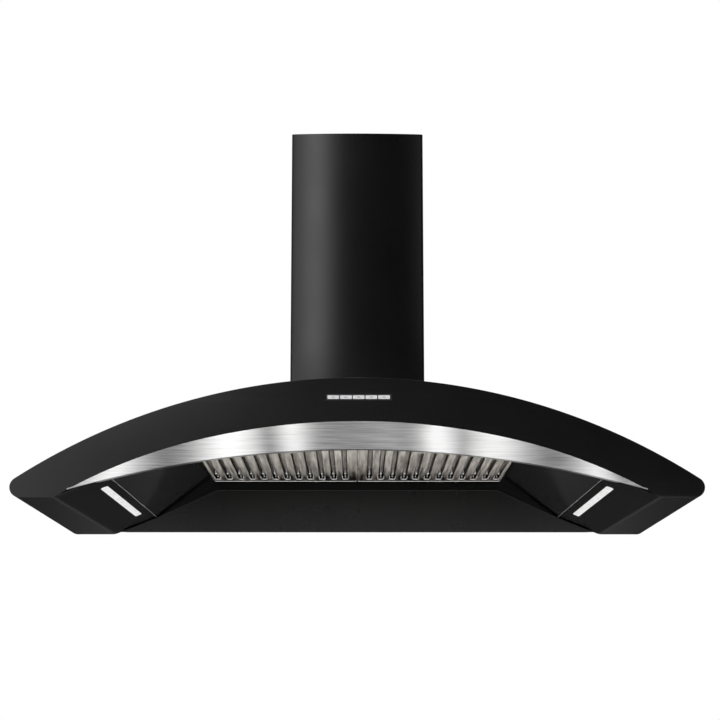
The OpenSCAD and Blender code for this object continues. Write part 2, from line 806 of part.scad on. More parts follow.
// Key cap with a shoulder that stops it behind the guide
module key(i) {
    color("white") if (i < key_count) {
        along_y(key_rear_y, fascia_y + key_proud)
            translate([key_mid_x(i) - key_w / 2, key_z - key_h / 2]) square([key_w, key_h]);
        along_y(key_rear_y, key_rear_y + over)
            translate([key_mid_x(i) - key_w / 2 - 0.5, key_z - key_h / 2 - 0.5])
            square([key_w + 1, key_h + 1]);
    }
}

module key_1() { key(0); }
module key_2() { key(1); }
module key_3() { key(2); }
module key_4() { key(3); }
module key_5() { key(4); }

module switch_board() {
    half_w = key_row_w / 2 + 5;
    color("seagreen") {
        bar(key_x - half_w, key_x + half_w, guide_rear_y - board_t, guide_rear_y,
            key_z - 9, key_z + 9);
        for (i = [0 : key_count - 1])
            bar(key_mid_x(i) - 3, key_mid_x(i) + 3, guide_rear_y - over, guide_rear_y + switch_h,
                key_z - key_h / 2 + 0.4, key_z + key_h / 2 - 0.4);
    }
}

// Middle of the gland on the control box's front
gland_x = -box_in_x - box_w / 3;
gland_z = box_z + box_h / 2;

module gland_rod(y0, y1, r) {
    translate([gland_x, -y0, gland_z]) rotate([90, 0, 0]) cylinder(r = r, h = y1 - y0);
}

module control_box() {
    color(zinc) difference() {
        bar(-box_in_x - box_w, -box_in_x, sheet_t, box_d, box_z, box_z + box_h);
        gland_rod(box_d - 2 * gland_seat, box_d + over, gland_r + close_fit);
    }
}

module cable_gland() {
    color("dimgray") difference() {
        union() {
            gland_rod(box_d - gland_seat, box_d + 14, gland_r);
            translate([gland_x, -box_d, gland_z]) rotate([90, 0, 0])
                cylinder(r = 1.4 * gland_r, h = 5, $fn = 6);
        }
        gland_rod(box_d - gland_seat + over, box_d + 15, cable_r);
    }
}

module lamp_driver() {
    color("dimgray") bar(box_in_x, box_in_x + driver_w, sheet_t, driver_d, box_z, box_z + driver_h);
}

// Scroll profile, as distance from the wall and height
function scroll_line(grow) = [for (a = [0 : scroll_step : scroll_sweep])
    let (r = scroll_r0 + (scroll_r1 - scroll_r0) * a / scroll_sweep + grow, t = tongue_deg - a)
    [blower_y - r * cos(t), blower_z + r * sin(t)]];

module scroll_2d(grow = 0) {
    polygon(concat([[outlet_rear - grow, outlet_z]], scroll_line(grow),
        [[outlet_front + grow, outlet_z]]));
}

module blower_casing() {
    color(zinc) {
        along_x(-scroll_w / 2, scroll_w / 2) difference() {
            scroll_2d(sheet_t);
            scroll_2d();
            translate([outlet_rear, outlet_z - over])
                square([outlet_front - outlet_rear, 2 * over]);
        }
    }
}

// Bell-shaped inlet: a quarter-round lip turned into the housing
ring_r = 6;
module inlet_ring() {
    rotate_extrude() translate([inlet_r + ring_r, 0]) intersection() {
        difference() {
            circle(r = ring_r);
            circle(r = ring_r - sheet_t);
        }
        translate([-ring_r, 0]) square([ring_r, ring_r]);
    }
}

module blower_side(side) {
    color(zinc) mirror([side, 0, 0]) difference() {
        union() {
            difference() {
                along_x(scroll_w / 2, side_x) scroll_2d(sheet_t);
                rod_x(scroll_w / 2 - over, side_x + over, blower_y, blower_z,
                    inlet_r + ring_r - over);
            }
            translate([side_x - ring_r, -blower_y, blower_z]) rotate([0, 90, 0]) inlet_ring();
        }
        rod_x(scroll_w / 2 - over, side_x + over, blower_y, blower_z, inlet_r);
    }
}

module blower_side_left() { blower_side(1); }
module blower_side_right() { blower_side(0); }

// Four angle brackets that hang the blower from the canopy
bracket_reach = 20;
bracket_w = 18;
bracket_drop = 24;
bracket_t = 1.5;
bracket_rear = 70;
bracket_front = 54;
bracket_y = [blower_y - bracket_rear, blower_y + bracket_front];
bracket_top_z = arch_z(side_x + bracket_reach) - sheet_t - sheet_gap;
screw_z = bracket_top_z - bracket_drop / 2 - 2;

module blower_brackets() {
    color(zinc) both_sides() for (y = bracket_y) difference() {
        union() {
            bar(side_x, side_x + bracket_t, y, y + bracket_w,
                bracket_top_z - bracket_drop, bracket_top_z);
            bar(side_x, side_x + bracket_reach, y, y + bracket_w,
                bracket_top_z - bracket_t, bracket_top_z);
        }
        rod_x(side_x - over, side_x + 3, y + bracket_w / 2, screw_z, screw_r + close_fit);
    }
}

module bracket_screws() {
    color(zinc) both_sides() for (y = bracket_y) {
        rod_x(side_x, side_x + bracket_t + over, y + bracket_w / 2, screw_z, screw_r);
        rod_x(side_x + bracket_t, side_x + bracket_t + screw_r, y + bracket_w / 2, screw_z, head_r);
    }
}

motor_x0 = -side_x;
motor_x1 = -8;

// Lengths of the hub and the shaft, from the impeller's middle and the motor's nose
hub_back = 6;
hub_front = 12;
shaft_in = 22;
shaft_end = 2;
shaft_out = hub_front + shaft_end;

module motor() {
    color("dimgray") difference() {
        union() {
            rod_x(motor_x0, motor_x1 - 4, blower_y, blower_z, motor_r);
            rod_x(motor_x1 - 5, motor_x1, blower_y, blower_z, motor_r / 2);
        }
        rod_x(motor_x1 - shaft_in - shaft_end, motor_x1 + over, blower_y, blower_z, shaft_r + shaft_fit);
    }
}

module motor_spider() {
    color(zinc) intersection() {
        rod_x(-side_x - 2, -side_x, blower_y, blower_z, inlet_r + ring_r + 4);
        translate([-side_x - 2, -blower_y, blower_z]) rotate([0, 90, 0]) {
            cylinder(r = motor_r / 2, h = 2);
            for (a = [0 : 120 : 359]) rotate([0, 0, a + 60]) translate([0, -6, 0])
                cube([2 * inlet_r, 12, 2]);
        }
    }
}

module motor_shaft() {
    color(steel) rod_x(motor_x1 - shaft_in, shaft_out, blower_y, blower_z, shaft_r);
}

// Forward-curved blade between two radii, an arc of constant thickness
blade_bend = 14;
blade_t = 0.8;
blade_steps = 5;
function blade_point(t, grow) =
    let (a = 90 * t, mid_r = (blade_r + impeller_r) / 2, span = impeller_r - blade_r)
    [mid_r + (span / 2 - blade_t) * (2 * t - 1), blade_bend * 0.3 * (1 - cos(a)) + grow];
module blade_2d() {
    polygon(concat([for (i = [0 : blade_steps]) blade_point(i / blade_steps, 0)],
        [for (i = [blade_steps : -1 : 0]) blade_point(i / blade_steps, blade_t)]));
}

module impeller() {
    half = impeller_w / 2;
    color(zinc) translate([0, -blower_y, blower_z]) rotate([0, 90, 0]) difference() {
        union() {
            translate([0, 0, -half]) linear_extrude(height = impeller_w)
                for (i = [0 : blade_count - 1]) rotate(360 * i / blade_count) blade_2d();
            translate([0, 0, -1]) cylinder(r = impeller_r, h = 2);
            translate([0, 0, -hub_back]) cylinder(r = 3 * shaft_r, h = hub_back + hub_front);
            for (z = [-half - 1.5, half - 0.5]) translate([0, 0, z]) difference() {
                cylinder(r = impeller_r + 1, h = 2);
                translate([0, 0, -over]) cylinder(r = blade_r + 4, h = 4);
            }
        }
        translate([0, 0, -half]) cylinder(r = shaft_r + shaft_fit, h = impeller_w);
    }
}

flange_x = side_x + 2;
screw_in = 5;
screw_r = 2;
head_r = 3.8;
ledge_in = 3;
flap_t = 1;

module duct_collar() {
    y0 = outlet_rear - 3;
    y1 = outlet_front + 3;
    top = outlet_z + sheet_t;
    color(zinc) difference() {
        union() {
            bar(-flange_x, flange_x, y0, y1, outlet_z, top);
            translate([0, -collar_y, outlet_z]) cylinder(r = collar_r, h = sheet_t + collar_h);
        }
        translate([0, -collar_y, outlet_z - over])
            cylinder(r = collar_r - ledge_in, h = damper_up + 2 * over);
        translate([0, -collar_y, damper_z - flap_t / 2 - sheet_gap])
            cylinder(r = collar_r - sheet_t, h = collar_h);
        rod_x(-collar_r - over, collar_r + over, collar_y, damper_z, damper_pin_r + shaft_fit);
        for (x = [-1, 1], y = [y0 + screw_in, y1 - screw_in])
            translate([x * (flange_x - screw_in), -y, outlet_z - over])
                cylinder(r = screw_r + close_fit, h = 4);
    }
}

module collar_screws() {
    y0 = outlet_rear - 3;
    y1 = outlet_front + 3;
    color(zinc) for (x = [-1, 1], y = [y0 + screw_in, y1 - screw_in])
        translate([x * (flange_x - screw_in), -y, outlet_z]) {
            cylinder(r = screw_r, h = sheet_t + over);
            translate([0, 0, sheet_t]) cylinder(r = head_r, h = screw_r);
        }
}

module damper_pin() {
    color(zinc) rod_x(-collar_r, collar_r, collar_y, damper_z, damper_pin_r);
}

// Half-disc flap; way is +1 for the half towards the room, -1 for the half towards the wall
module damper_flap(way) {
    clear = knuckle_r + 0.5;
    reach = 2 * damper_r;
    row = 4 * knuckle_w + 3 * knuckle_gap;
    knuckles = [for (i = way > 0 ? [0, 2] : [1, 3]) i * (knuckle_w + knuckle_gap) - row / 2];
    color(zinc) difference() {
        union() {
            difference() {
                translate([0, -collar_y, damper_z - flap_t / 2])
                    cylinder(r = damper_r, h = flap_t);
                bar(-reach, reach, way > 0 ? collar_y - reach : collar_y - clear,
                    way > 0 ? collar_y + clear : collar_y + reach, damper_z - 2, damper_z + 2);
            }
            for (x = knuckles) {
                rod_x(x, x + knuckle_w, collar_y, damper_z, knuckle_r);
                bar(x, x + knuckle_w, way > 0 ? collar_y : collar_y - clear - over,
                    way > 0 ? collar_y + clear + over : collar_y,
                    damper_z - flap_t / 2, damper_z + flap_t / 2);
            }
        }
        rod_x(-collar_r, collar_r, collar_y, damper_z, damper_pin_r + shaft_fit);
    }
}

module damper_front() { damper_flap(1); }
module damper_rear() { damper_flap(-1); }

// Plan of the duct cover: straight sides, round corners, bowed front
module duct_2d(inset = 0) {
    half = cover_w / 2 - inset;
    reach = 3 * cover_corner_r;
    corner = [cover_corner_x, -cover_d + cover_corner_drop];
    out = corner + reach * [sin(cover_corner_deg), -cos(cover_corner_deg)];
    intersection() {
        translate([0, cover_bow_r - cover_d]) circle(r = cover_bow_r - inset, $fn = arc_fn);
        polygon([[half, -wall_gap - inset], [half, corner[1]], corner, out,
                 [0, -cover_d - reach], [-out[0], out[1]], [-corner[0], corner[1]],
                 [-half, corner[1]], [-half, -wall_gap - inset]]);
    }
    for (side = [-1, 1]) translate([side * corner[0], corner[1]])
        circle(r = cover_corner_r - inset + blend);
}

module duct_wall_2d(inset) {
    open = cover_w / 2 - inset - cover_return;
    difference() {
        duct_2d(inset);
        duct_2d(inset + sheet_t);
        translate([-open, -cover_d / 2]) square([2 * open, cover_d]);
    }
}

// The canopy's arch as short chords, to scribe the cover's foot
foot_steps = 24;
module under_arch_2d(half, low_z) {
    polygon(concat([[half, low_z], [-half, low_z]], [for (i = [0 : foot_steps])
        let (x = half * (2 * i / foot_steps - 1))
        [x, arch_cz + sqrt(pow(arch_r + seat_gap, 2) - x * x)]]));
}

// Stops inside the cover that carry the sliding section
stop_in = 3;
stop_w = 8;
stop_t = 1.5;
stop_len = 20;
stop_y = cover_d / 3;

module duct_cover() {
    tab_x = cover_w / 2 - sheet_t;
    foot_z = arch_z(cover_w / 2) - 10;
    color(satin_black) difference() {
        union() {
            translate([0, 0, foot_z]) linear_extrude(height = cover_top_z - foot_z)
                duct_wall_2d(0);
            for (side = [-1, 1]) translate([side * (tab_x - stop_in) - stop_w / 2,
                    -stop_y - stop_len / 2, slider_foot_z - stop_t - sheet_gap])
                cube([stop_w, stop_len, stop_t]);
        }
        along_y(-over, cover_d + over) under_arch_2d(cover_w / 2 + over, foot_z - over);
    }
}

module duct_slider() {
    color(satin_black) translate([0, 0, slider_foot_z]) linear_extrude(height = slider_len)
        duct_wall_2d(slider_inset);
}

plate_t = 1.5;
plate_h = 24;
lug_d = 26;

module cover_bracket() {
    half = cover_w / 2 - cover_return - sheet_gap;
    lug = cover_w / 2 - slider_inset - cover_return - sheet_gap;
    color(zinc) difference() {
        union() {
            bar(-half, half, 0, plate_t, bracket_z - plate_h / 2, bracket_z + plate_h / 2);
            both_sides() bar(lug - plate_t, lug, plate_t / 2, lug_d,
                bracket_z - plate_h / 2, bracket_z + plate_h / 2);
        }
        for (side = [-1, 1]) translate([side * bracket_x, over, bracket_z]) rotate([90, 0, 0])
            cylinder(r = bracket_r, h = 4);
    }
}

canopy_shell();
front_fascia();
steel_band();
back_plate();
rear_panel();
underside_left();
underside_right();
front_panel();
hinge_rail();
hinge_rod();
filter_frame_left();
filter_frame_right();
lower_baffles_left();
lower_baffles_right();
upper_baffles_left();
upper_baffles_right();
filter_latch_left();
filter_latch_right();
lamp_lens_left();
lamp_lens_right();
lamp_channel_left();
lamp_channel_right();
lamp_board_left();
lamp_board_right();
key_guide();
key_1();
key_2();
key_3();
key_4();
key_5();
switch_board();
control_box();
cable_gland();
lamp_driver();
blower_casing();
blower_side_left();
blower_side_right();
blower_brackets();
motor();
motor_spider();
motor_shaft();
impeller();
duct_collar();
damper_pin();
damper_front();
damper_rear();
duct_cover();
duct_slider();
cover_bracket();
collar_screws();
bracket_screws();
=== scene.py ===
"""Looks of an arched chimney range hood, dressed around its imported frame.

Every sub-assembly is a class that holds its sizes in metres, builds its meshes in the
hood's own frame (+X right, +Y into the wall, +Z up) and gives them their finish.
"""

import json
import logging
import math
from dataclasses import dataclass
from enum import Enum
from typing import Callable, Sequence

import bmesh
import bpy
from mathutils import Matrix, Vector

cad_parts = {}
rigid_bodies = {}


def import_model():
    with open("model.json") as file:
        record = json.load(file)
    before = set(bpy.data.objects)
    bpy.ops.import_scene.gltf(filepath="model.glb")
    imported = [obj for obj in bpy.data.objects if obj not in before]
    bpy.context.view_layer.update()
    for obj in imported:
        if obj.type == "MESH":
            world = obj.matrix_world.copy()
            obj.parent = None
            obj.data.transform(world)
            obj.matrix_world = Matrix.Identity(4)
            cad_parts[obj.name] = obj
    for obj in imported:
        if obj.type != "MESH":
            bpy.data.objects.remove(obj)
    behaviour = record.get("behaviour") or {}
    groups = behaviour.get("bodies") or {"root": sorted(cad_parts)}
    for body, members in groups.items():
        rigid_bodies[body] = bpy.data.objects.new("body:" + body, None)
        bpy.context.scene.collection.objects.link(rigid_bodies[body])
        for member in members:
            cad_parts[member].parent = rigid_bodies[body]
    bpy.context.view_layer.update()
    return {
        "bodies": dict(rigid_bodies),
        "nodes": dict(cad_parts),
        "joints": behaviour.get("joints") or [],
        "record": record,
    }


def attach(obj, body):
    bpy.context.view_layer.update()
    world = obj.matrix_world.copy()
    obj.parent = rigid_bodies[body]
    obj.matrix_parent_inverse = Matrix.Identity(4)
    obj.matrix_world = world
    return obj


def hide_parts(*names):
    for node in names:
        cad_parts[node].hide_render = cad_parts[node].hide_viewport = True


LOG = logging.getLogger("hood")
MM = 0.001
Point = tuple[float, float]
Point3 = tuple[float, float, float]


class Slot(str, Enum):
    """Material slots of the record."""

    PAINT = "satin_black_paint"
    BAND = "brushed_band_steel"
    FILTER = "filter_steel"
    LAMP = "lamp_diffuser"
    BOARD = "circuit_board"
    KEY = "key_plastic"
    PLASTIC = "black_plastic"
    MOTOR = "motor_casing"
    ROD = "bright_steel"
    ZINC = "zinc_plated_sheet"


class Side(Enum):
    """The two sides of the hood, as signs of X."""

    LEFT = -1
    RIGHT = 1

    @property
    def word(self) -> str:
        """The side's name as the nodes use it."""
        return self.name.lower()


class Nodes:
    """A short way to write shader node trees."""

    def __init__(self, tree: bpy.types.NodeTree, place: str) -> None:
        """Keeps a tree and the place that its patterns follow.

        Args:
            tree: The node tree.
            place: The texture coordinate's output.
        """
        self.nodes = tree.nodes
        self.links = tree.links
        self.nodes.clear()
        self.place = self.nodes.new("ShaderNodeTexCoord").outputs[place]

    def feed(self, socket: bpy.types.NodeSocket, value: "bpy.types.NodeSocket | float") -> None:
        """Links a value to a socket, or sets it.

        Args:
            socket: The input.
            value: A number or an output.
        """
        if isinstance(value, bpy.types.NodeSocket):
            self.links.new(value, socket)
        else:
            socket.default_value = value

    def math(self, kind: str, *values: "bpy.types.NodeSocket | float") -> bpy.types.NodeSocket:
        """Adds a math node.

        Args:
            kind: Blender's name of the operation.
            values: Its inputs.

        Returns:
            The result.
        """
        node = self.nodes.new("ShaderNodeMath")
        node.operation = kind
        for socket, value in zip(node.inputs, values):
            self.feed(socket, value)
        return node.outputs["Value"]

    def axes(self) -> list[bpy.types.NodeSocket]:
        """The place's X, Y and Z."""
        split = self.nodes.new("ShaderNodeSeparateXYZ")
        self.links.new(self.place, split.inputs[0])
        return list(split.outputs)

    def span(self, value: bpy.types.NodeSocket, low: float, high: float,
             start: float = 0.3, end: float = 0.7, smooth: bool = False) -> bpy.types.NodeSocket:
        """Maps a value from start..end to low..high.

        Args:
            value: The value to map.
            low: Result at start.
            high: Result at end.
            start: Value that gives low.
            end: Value that gives high.
            smooth: Whether both ends are eased.

        Returns:
            The mapped value.
        """
        node = self.nodes.new("ShaderNodeMapRange")
        node.interpolation_type = "SMOOTHSTEP" if smooth else "LINEAR"
        for name, number in zip(("From Min", "From Max", "To Min", "To Max"), (start, end, low, high)):
            node.inputs[name].default_value = number
        self.links.new(value, node.inputs["Value"])
        return node.outputs["Result"]

    def bell(self, value: bpy.types.NodeSocket, centre: float, width: float) -> bpy.types.NodeSocket:
        """A smooth bump of height 1.

        Args:
            value: The value to follow.
            centre: Where the bump stands.
            width: Distance at which it has fallen to 37%.

        Returns:
            The bump's height.
        """
        far = self.math("DIVIDE", self.math("SUBTRACT", value, centre), width)
        return self.math("EXPONENT", self.math("MULTIPLY", self.math("MULTIPLY", far, far), -1.0))

    def total(self, *values: bpy.types.NodeSocket) -> bpy.types.NodeSocket:
        """The sum of some values."""
        result = values[0]
        for value in values[1:]:
            result = self.math("ADD", result, value)
        return result

    def noise(self, scale: Point3, detail: float = 2.0, rough: float = 0.5,
              shift: Point3 = (0.0, 0.0, 0.0)) -> bpy.types.NodeSocket:
        """Adds a noise whose grain has its own size along each axis.

        Args:
            scale: Grains per metre along X, Y and Z.
            detail: Octaves of the noise.
            rough: Weight of the finer octaves.
            shift: Where the noise starts.

        Returns:
            The noise's value, from 0 to 1.
        """
        mapping = self.nodes.new("ShaderNodeMapping")
        mapping.inputs["Scale"].default_value = scale
        mapping.inputs["Location"].default_value = shift
        self.links.new(self.place, mapping.inputs["Vector"])
        texture = self.nodes.new("ShaderNodeTexNoise")
        texture.inputs["Scale"].default_value = 1.0
        texture.inputs["Detail"].default_value = detail
        texture.inputs["Roughness"].default_value = rough
        self.links.new(mapping.outputs["Vector"], texture.inputs["Vector"])
        return texture.outputs["Fac"]


class Surface(Nodes):
    """A material with one principled shader."""

    def __init__(self, name: str) -> None:
        """Starts the material.

        Args:
            name: The material's name.
        """
        self.material = bpy.data.materials.new(name)
        self.material.use_nodes = True
        super().__init__(self.material.node_tree, "Object")
        self.shader = self.nodes.new("ShaderNodeBsdfPrincipled")
        output = self.nodes.new("ShaderNodeOutputMaterial")
        self.links.new(self.shader.outputs["BSDF"], output.inputs["Surface"])

    def set(self, **sockets: float | tuple[float, ...]) -> None:
        """Sets uniform values on the shader's own sockets.

        Args:
            sockets: Socket names with underscores for spaces, and their values.
        """
        for name, value in sockets.items():
            self.shader.inputs[name.replace("_", " ")].default_value = value

    def tint(self, value: bpy.types.NodeSocket, dark: Point3, light: Point3) -> None:
        """Colours the surface between two tones.

        Args:
            value: 0 gives the dark tone and 1 the light one.
            dark: Linear colour.
            light: Linear colour.
        """
        mix = self.nodes.new("ShaderNodeMix")
        mix.data_type = "RGBA"
        mix.clamp_factor = False
        dark_in, light_in = (socket for socket in mix.inputs if socket.type == "RGBA")
        dark_in.default_value = (*dark, 1.0)
        light_in.default_value = (*light, 1.0)
        self.links.new(value, mix.inputs[0])
        self.links.new(mix.outputs[2], self.shader.inputs["Base Color"])

    def roughness(self, value: bpy.types.NodeSocket) -> None:
        """Drives the shader's roughness."""
        self.links.new(value, self.shader.inputs["Roughness"])

    def bump(self, height: bpy.types.NodeSocket, strength: float, distance: float,
             below: bpy.types.NodeSocket | None = None) -> bpy.types.NodeSocket:
        """Adds relief.

        Args:
            height: The relief, from 0 to 1.
            strength: How much of it counts.
            distance: Its depth in metres.
            below: Normal of a coarser relief under this one.

        Returns:
            The bumped normal, which is also linked to the shader.
        """
        node = self.nodes.new("ShaderNodeBump")
        node.inputs["Strength"].default_value = strength
        node.inputs["Distance"].default_value = distance
        self.links.new(height, node.inputs["Height"])
        if below is not None:
            self.links.new(below, node.inputs["Normal"])
        self.links.new(node.outputs["Normal"], self.shader.inputs["Normal"])
        return node.outputs["Normal"]


@dataclass(frozen=True)
class StovePaint:
    """Satin black enamel with a very fine orange peel and faint cloudiness; a foot above 0 paints light
    towards its lower edge.
    """

    name: str = "satin_black_enamel"
    dark: Point3 = (0.0012, 0.0012, 0.0012)
    light: Point3 = (0.0024, 0.0024, 0.0024)
    rough: Point = (0.10, 0.13)
    specular: float = 0.5
    foot: float = 0.0

    def build(self) -> bpy.types.Material:
        """Makes the material; a foot above 0 paints it lighter towards Z 0, as painted light from below."""
        tree = Surface(self.name)
        tree.set(Metallic=0.0, Specular_IOR_Level=self.specular)
        # painted light: the foot lifts the colour towards Z 0, standing in for light falling on the lower
        # part from below
        lift = tree.span(tree.axes()[2], self.foot, 0.0, 0.0, 72 * MM)
        tree.tint(tree.math("ADD", tree.noise((6, 6, 6), 3.0), lift), self.dark, self.light)
        tree.roughness(tree.span(tree.noise((14, 14, 14), 4.0), *self.rough))
        tree.bump(tree.noise((1400, 1400, 1400), 2.0), 0.08, 0.00004)
        return tree.material


@dataclass(frozen=True)
class BandSteel:
    """Horizontally brushed stainless steel; bright and dark painted reflection streaks run across the bent
    band.
    """

    name: str = "brushed_band"
    dark: Point3 = (0.25, 0.25, 0.25)
    light: Point3 = (0.97, 0.97, 0.965)
    grain: Point3 = (24.0, 900.0, 2400.0)
    sheen: tuple[Point3, ...] = ((-0.352, 0.044, 0.78), (-0.267, 0.030, -0.15), (-0.184, 0.046, 0.89),
                                 (-0.130, 0.014, -0.17), (-0.091, 0.0225, 0.72), (0.050, 0.030, 0.10),
                                 (0.116, 0.024, 0.98), (0.149, 0.012, -0.15), (0.198, 0.047, 0.95),
                                 (0.278, 0.020, -0.07), (0.352, 0.036, 0.93), (0.382, 0.010, -0.25))
    floor: float = 0.045

    def build(self) -> bpy.types.Material:
        """Makes the material: each painted reflection streak is its place along the band, its width and its
        strength.
        """
        tree = Surface(self.name)
        tree.set(Metallic=1.0, Anisotropic=0.85, Anisotropic_Rotation=0.25)
        grain = tree.noise(self.grain, 4.0, 0.6)
        across = tree.axes()[0]
        drift = tree.span(tree.noise((9.0, 0.0, 14.0), 1.0), -0.006, 0.006)
        place = tree.math("ADD", across, drift)
        # painted reflection: bright and dark streaks across the band, shifted a little by the drift, stand in
        # for the studio's reflections
        painted_streaks = [tree.math("MULTIPLY", tree.bell(place, at, wide), power) for at, wide, power in self.sheen]
        soft = tree.span(tree.noise((15.0, 300.0, 460.0), 3.0, 0.6), -0.11, 0.11)
        fine = tree.span(grain, -0.07, 0.07)
        tree.tint(tree.math("ADD", tree.total(*painted_streaks, soft, fine), self.floor), self.dark, self.light)
        tree.roughness(tree.span(grain, 0.38, 0.46))
        tangent = tree.nodes.new("ShaderNodeTangent")
        tangent.direction_type = "UV_MAP"
        tangent.uv_map = "UVMap"
        tree.links.new(tangent.outputs["Tangent"], tree.shader.inputs["Tangent"])
        tree.bump(grain, 0.10, 0.00004)
        return tree.material


@dataclass(frozen=True)
class BrushedSteel:
    """Stainless steel with a fine grain along one axis and a slightly wavy sheet."""

    name: str
    dark: Point3
    light: Point3
    rough: Point
    grain: Point3
    waves: Point3
    wave_depth: float = 0.0
    metallic: float = 1.0

    def build(self) -> bpy.types.Material:
        """Makes the material."""
        tree = Surface(self.name)
        tree.set(Metallic=self.metallic)
        grain = tree.noise(self.grain, 4.0, 0.6)
        tree.tint(grain, self.dark, self.light)
        tree.roughness(tree.span(grain, *self.rough))
        below = None
        if self.wave_depth > 0.0:
            below = tree.bump(tree.noise(self.waves, 1.0, 0.5, (7.7, 0.0, 0.0)), 1.0, self.wave_depth)
        tree.bump(grain, 0.10, 0.00004, below)
        return tree.material


@dataclass(frozen=True)
class FilterSteel:
    """Rolled filter sheet, warm grey, with painted shadows at the gaps' sides, painted shade deeper inside
    the filter and towards its rear end, and painted light and shade along its floor.
    """

    name: str = "rolled_filter_steel"
    dark: Point3 = (0.30, 0.275, 0.245)
    light: Point3 = (0.60, 0.56, 0.505)
    # painted light and shade: the tones below stand in for shade inside the filter, towards the wall and
    # along the floor, and for shadows at the gaps
    levels: tuple[Point3, ...] = ((87.6 * MM, 92.0 * MM, -0.60), (96.0 * MM, 98.4 * MM, 1.0))
    rear: tuple[Point3, ...] = ((-0.22, -0.10, -0.50), (-0.10, -0.052, -0.60))
    sole: tuple[Point3, ...] = ((-0.36, -0.28, -0.28), (-0.28, -0.11, -0.32), (-0.09, -0.05, 0.15))
    first: float = 20.3 * MM
    pitch: float = 19.85 * MM
    folds: tuple[Point3, ...] = ((-3.3 * MM, 1.2 * MM, -2.2), (4.1 * MM, 0.7 * MM, -1.8))
    darkest: float = -1.05

    def build(self) -> bpy.types.Material:
        """Makes the material.

        A painted fold shadow is its distance from a gap's middle, its width and its tone. A painted depth
        shade, a painted shade towards the rear end or a part of the painted light and shade on the floor is
        where its tone starts, where it is full, and the tone.
        """
        tree = Surface(self.name)
        tree.set(Metallic=0.4)
        grain = tree.noise((900, 30, 900), 4.0, 0.6)
        streak = tree.noise((260, 9, 260), 3.0, 0.6)
        across, along, up = tree.axes()
        apart = tree.math("SUBTRACT", tree.math("ABSOLUTE", across), self.first - self.pitch / 2)
        place = tree.math("SUBTRACT", tree.math("FLOORED_MODULO", apart, self.pitch), self.pitch / 2)
        # painted shadow: dark lines at both sides of each gap, inside the filter, stand in for the shadows
        # between the channels
        folds = [tree.math("MULTIPLY", tree.bell(place, at, wide), tone) for at, wide, tone in self.folds]
        inside = tree.span(up, 0.0, 1.0, 88.0 * MM, 91.0 * MM, True)
        # painted shade: darker towards the rear end, near the wall, standing in for the shade under the rear
        # panel
        ends = [tree.span(along, 0.0, tone, start, end) for start, end, tone in self.rear]
        # painted light and shade on the floor: darker from the front rearwards, lighter again at the rear
        # strip, and weaker on the outer bars
        sole = [tree.span(along, 0.0, tone, start, end) for start, end, tone in self.sole]
        outside = tree.math("MULTIPLY", tree.math("SUBTRACT", 1.0, inside),
                            tree.span(tree.math("ABSOLUTE", across), 1.0, 0.5, 0.11, 0.21, True))
        # painted shade: darker deeper inside the filter, with the webs at the top painted lighter again
        levels = [tree.span(up, 0.0, tone, start, end) for start, end, tone in self.levels]
        tone = tree.total(tree.span(grain, 0.60, 0.90), tree.span(streak, -0.75, 0.75), *levels, *ends,
                          tree.math("MULTIPLY", tree.total(*folds), inside),
                          tree.math("MULTIPLY", tree.total(*sole), outside))
        tree.tint(tree.math("MAXIMUM", tone, self.darkest), self.dark, self.light)
        tree.roughness(tree.span(grain, 0.36, 0.50))
        tree.bump(grain, 0.12, 0.00005, tree.bump(tree.noise((6, 2, 6), 1.0), 1.0, 0.0004))
        return tree.material


@dataclass(frozen=True)
class ZincPlate:
    """Galvanised sheet with its flower pattern."""

    name: str = "zinc_plated_steel"
    dark: Point3 = (0.34, 0.36, 0.38)
    light: Point3 = (0.52, 0.54, 0.56)

    def build(self) -> bpy.types.Material:
        """Makes the material."""
        tree = Surface(self.name)
        tree.set(Metallic=1.0)
        flower = tree.nodes.new("ShaderNodeTexVoronoi")
        flower.inputs["Scale"].default_value = 90.0
        tree.links.new(tree.place, flower.inputs["Vector"])
        value = tree.nodes.new("ShaderNodeSeparateColor")
        tree.links.new(flower.outputs["Color"], value.inputs["Color"])
        tree.tint(value.outputs["Red"], self.dark, self.light)
        tree.roughness(tree.span(value.outputs["Green"], 0.34, 0.52, 0.0, 1.0))
        tree.bump(tree.noise((300, 300, 300)), 0.1, 0.0001)
        return tree.material


@dataclass(frozen=True)
class Moulding:
    """Moulded plastic, lacquer or board with a fine even grain."""

    name: str
    dark: Point3
    light: Point3
    rough: Point = (0.40, 0.55)
    grain: float = 900.0
    metallic: float = 0.0

    def build(self) -> bpy.types.Material:
        """Makes the material."""
        tree = Surface(self.name)
        tree.set(Metallic=self.metallic)
        fine = tree.noise((self.grain, self.grain, self.grain), 3.0)
        tree.tint(tree.noise((30, 30, 30), 3.0), self.dark, self.light)
        tree.roughness(tree.span(fine, *self.rough))
        tree.bump(fine, 0.15, 0.00006)
        return tree.material


@dataclass(frozen=True)
class LampGlow:
    """Frosted diffuser, lit from behind."""

    name: str = "lit_diffuser"
    strength: Point = (0.60, 0.80)

    def build(self) -> bpy.types.Material:
        """Makes the material."""
        tree = Surface(self.name)
        tree.set(Emission_Color=(1.0, 1.0, 0.99, 1.0))
        fine = tree.noise((500, 500, 500), 3.0)
        tree.links.new(tree.span(tree.noise((160, 60, 160), 3.0), *self.strength),
                       tree.shader.inputs["Emission Strength"])
        tree.tint(fine, (0.09, 0.09, 0.09), (0.12, 0.12, 0.12))
        tree.roughness(tree.span(fine, 0.4, 0.6))
        return tree.material


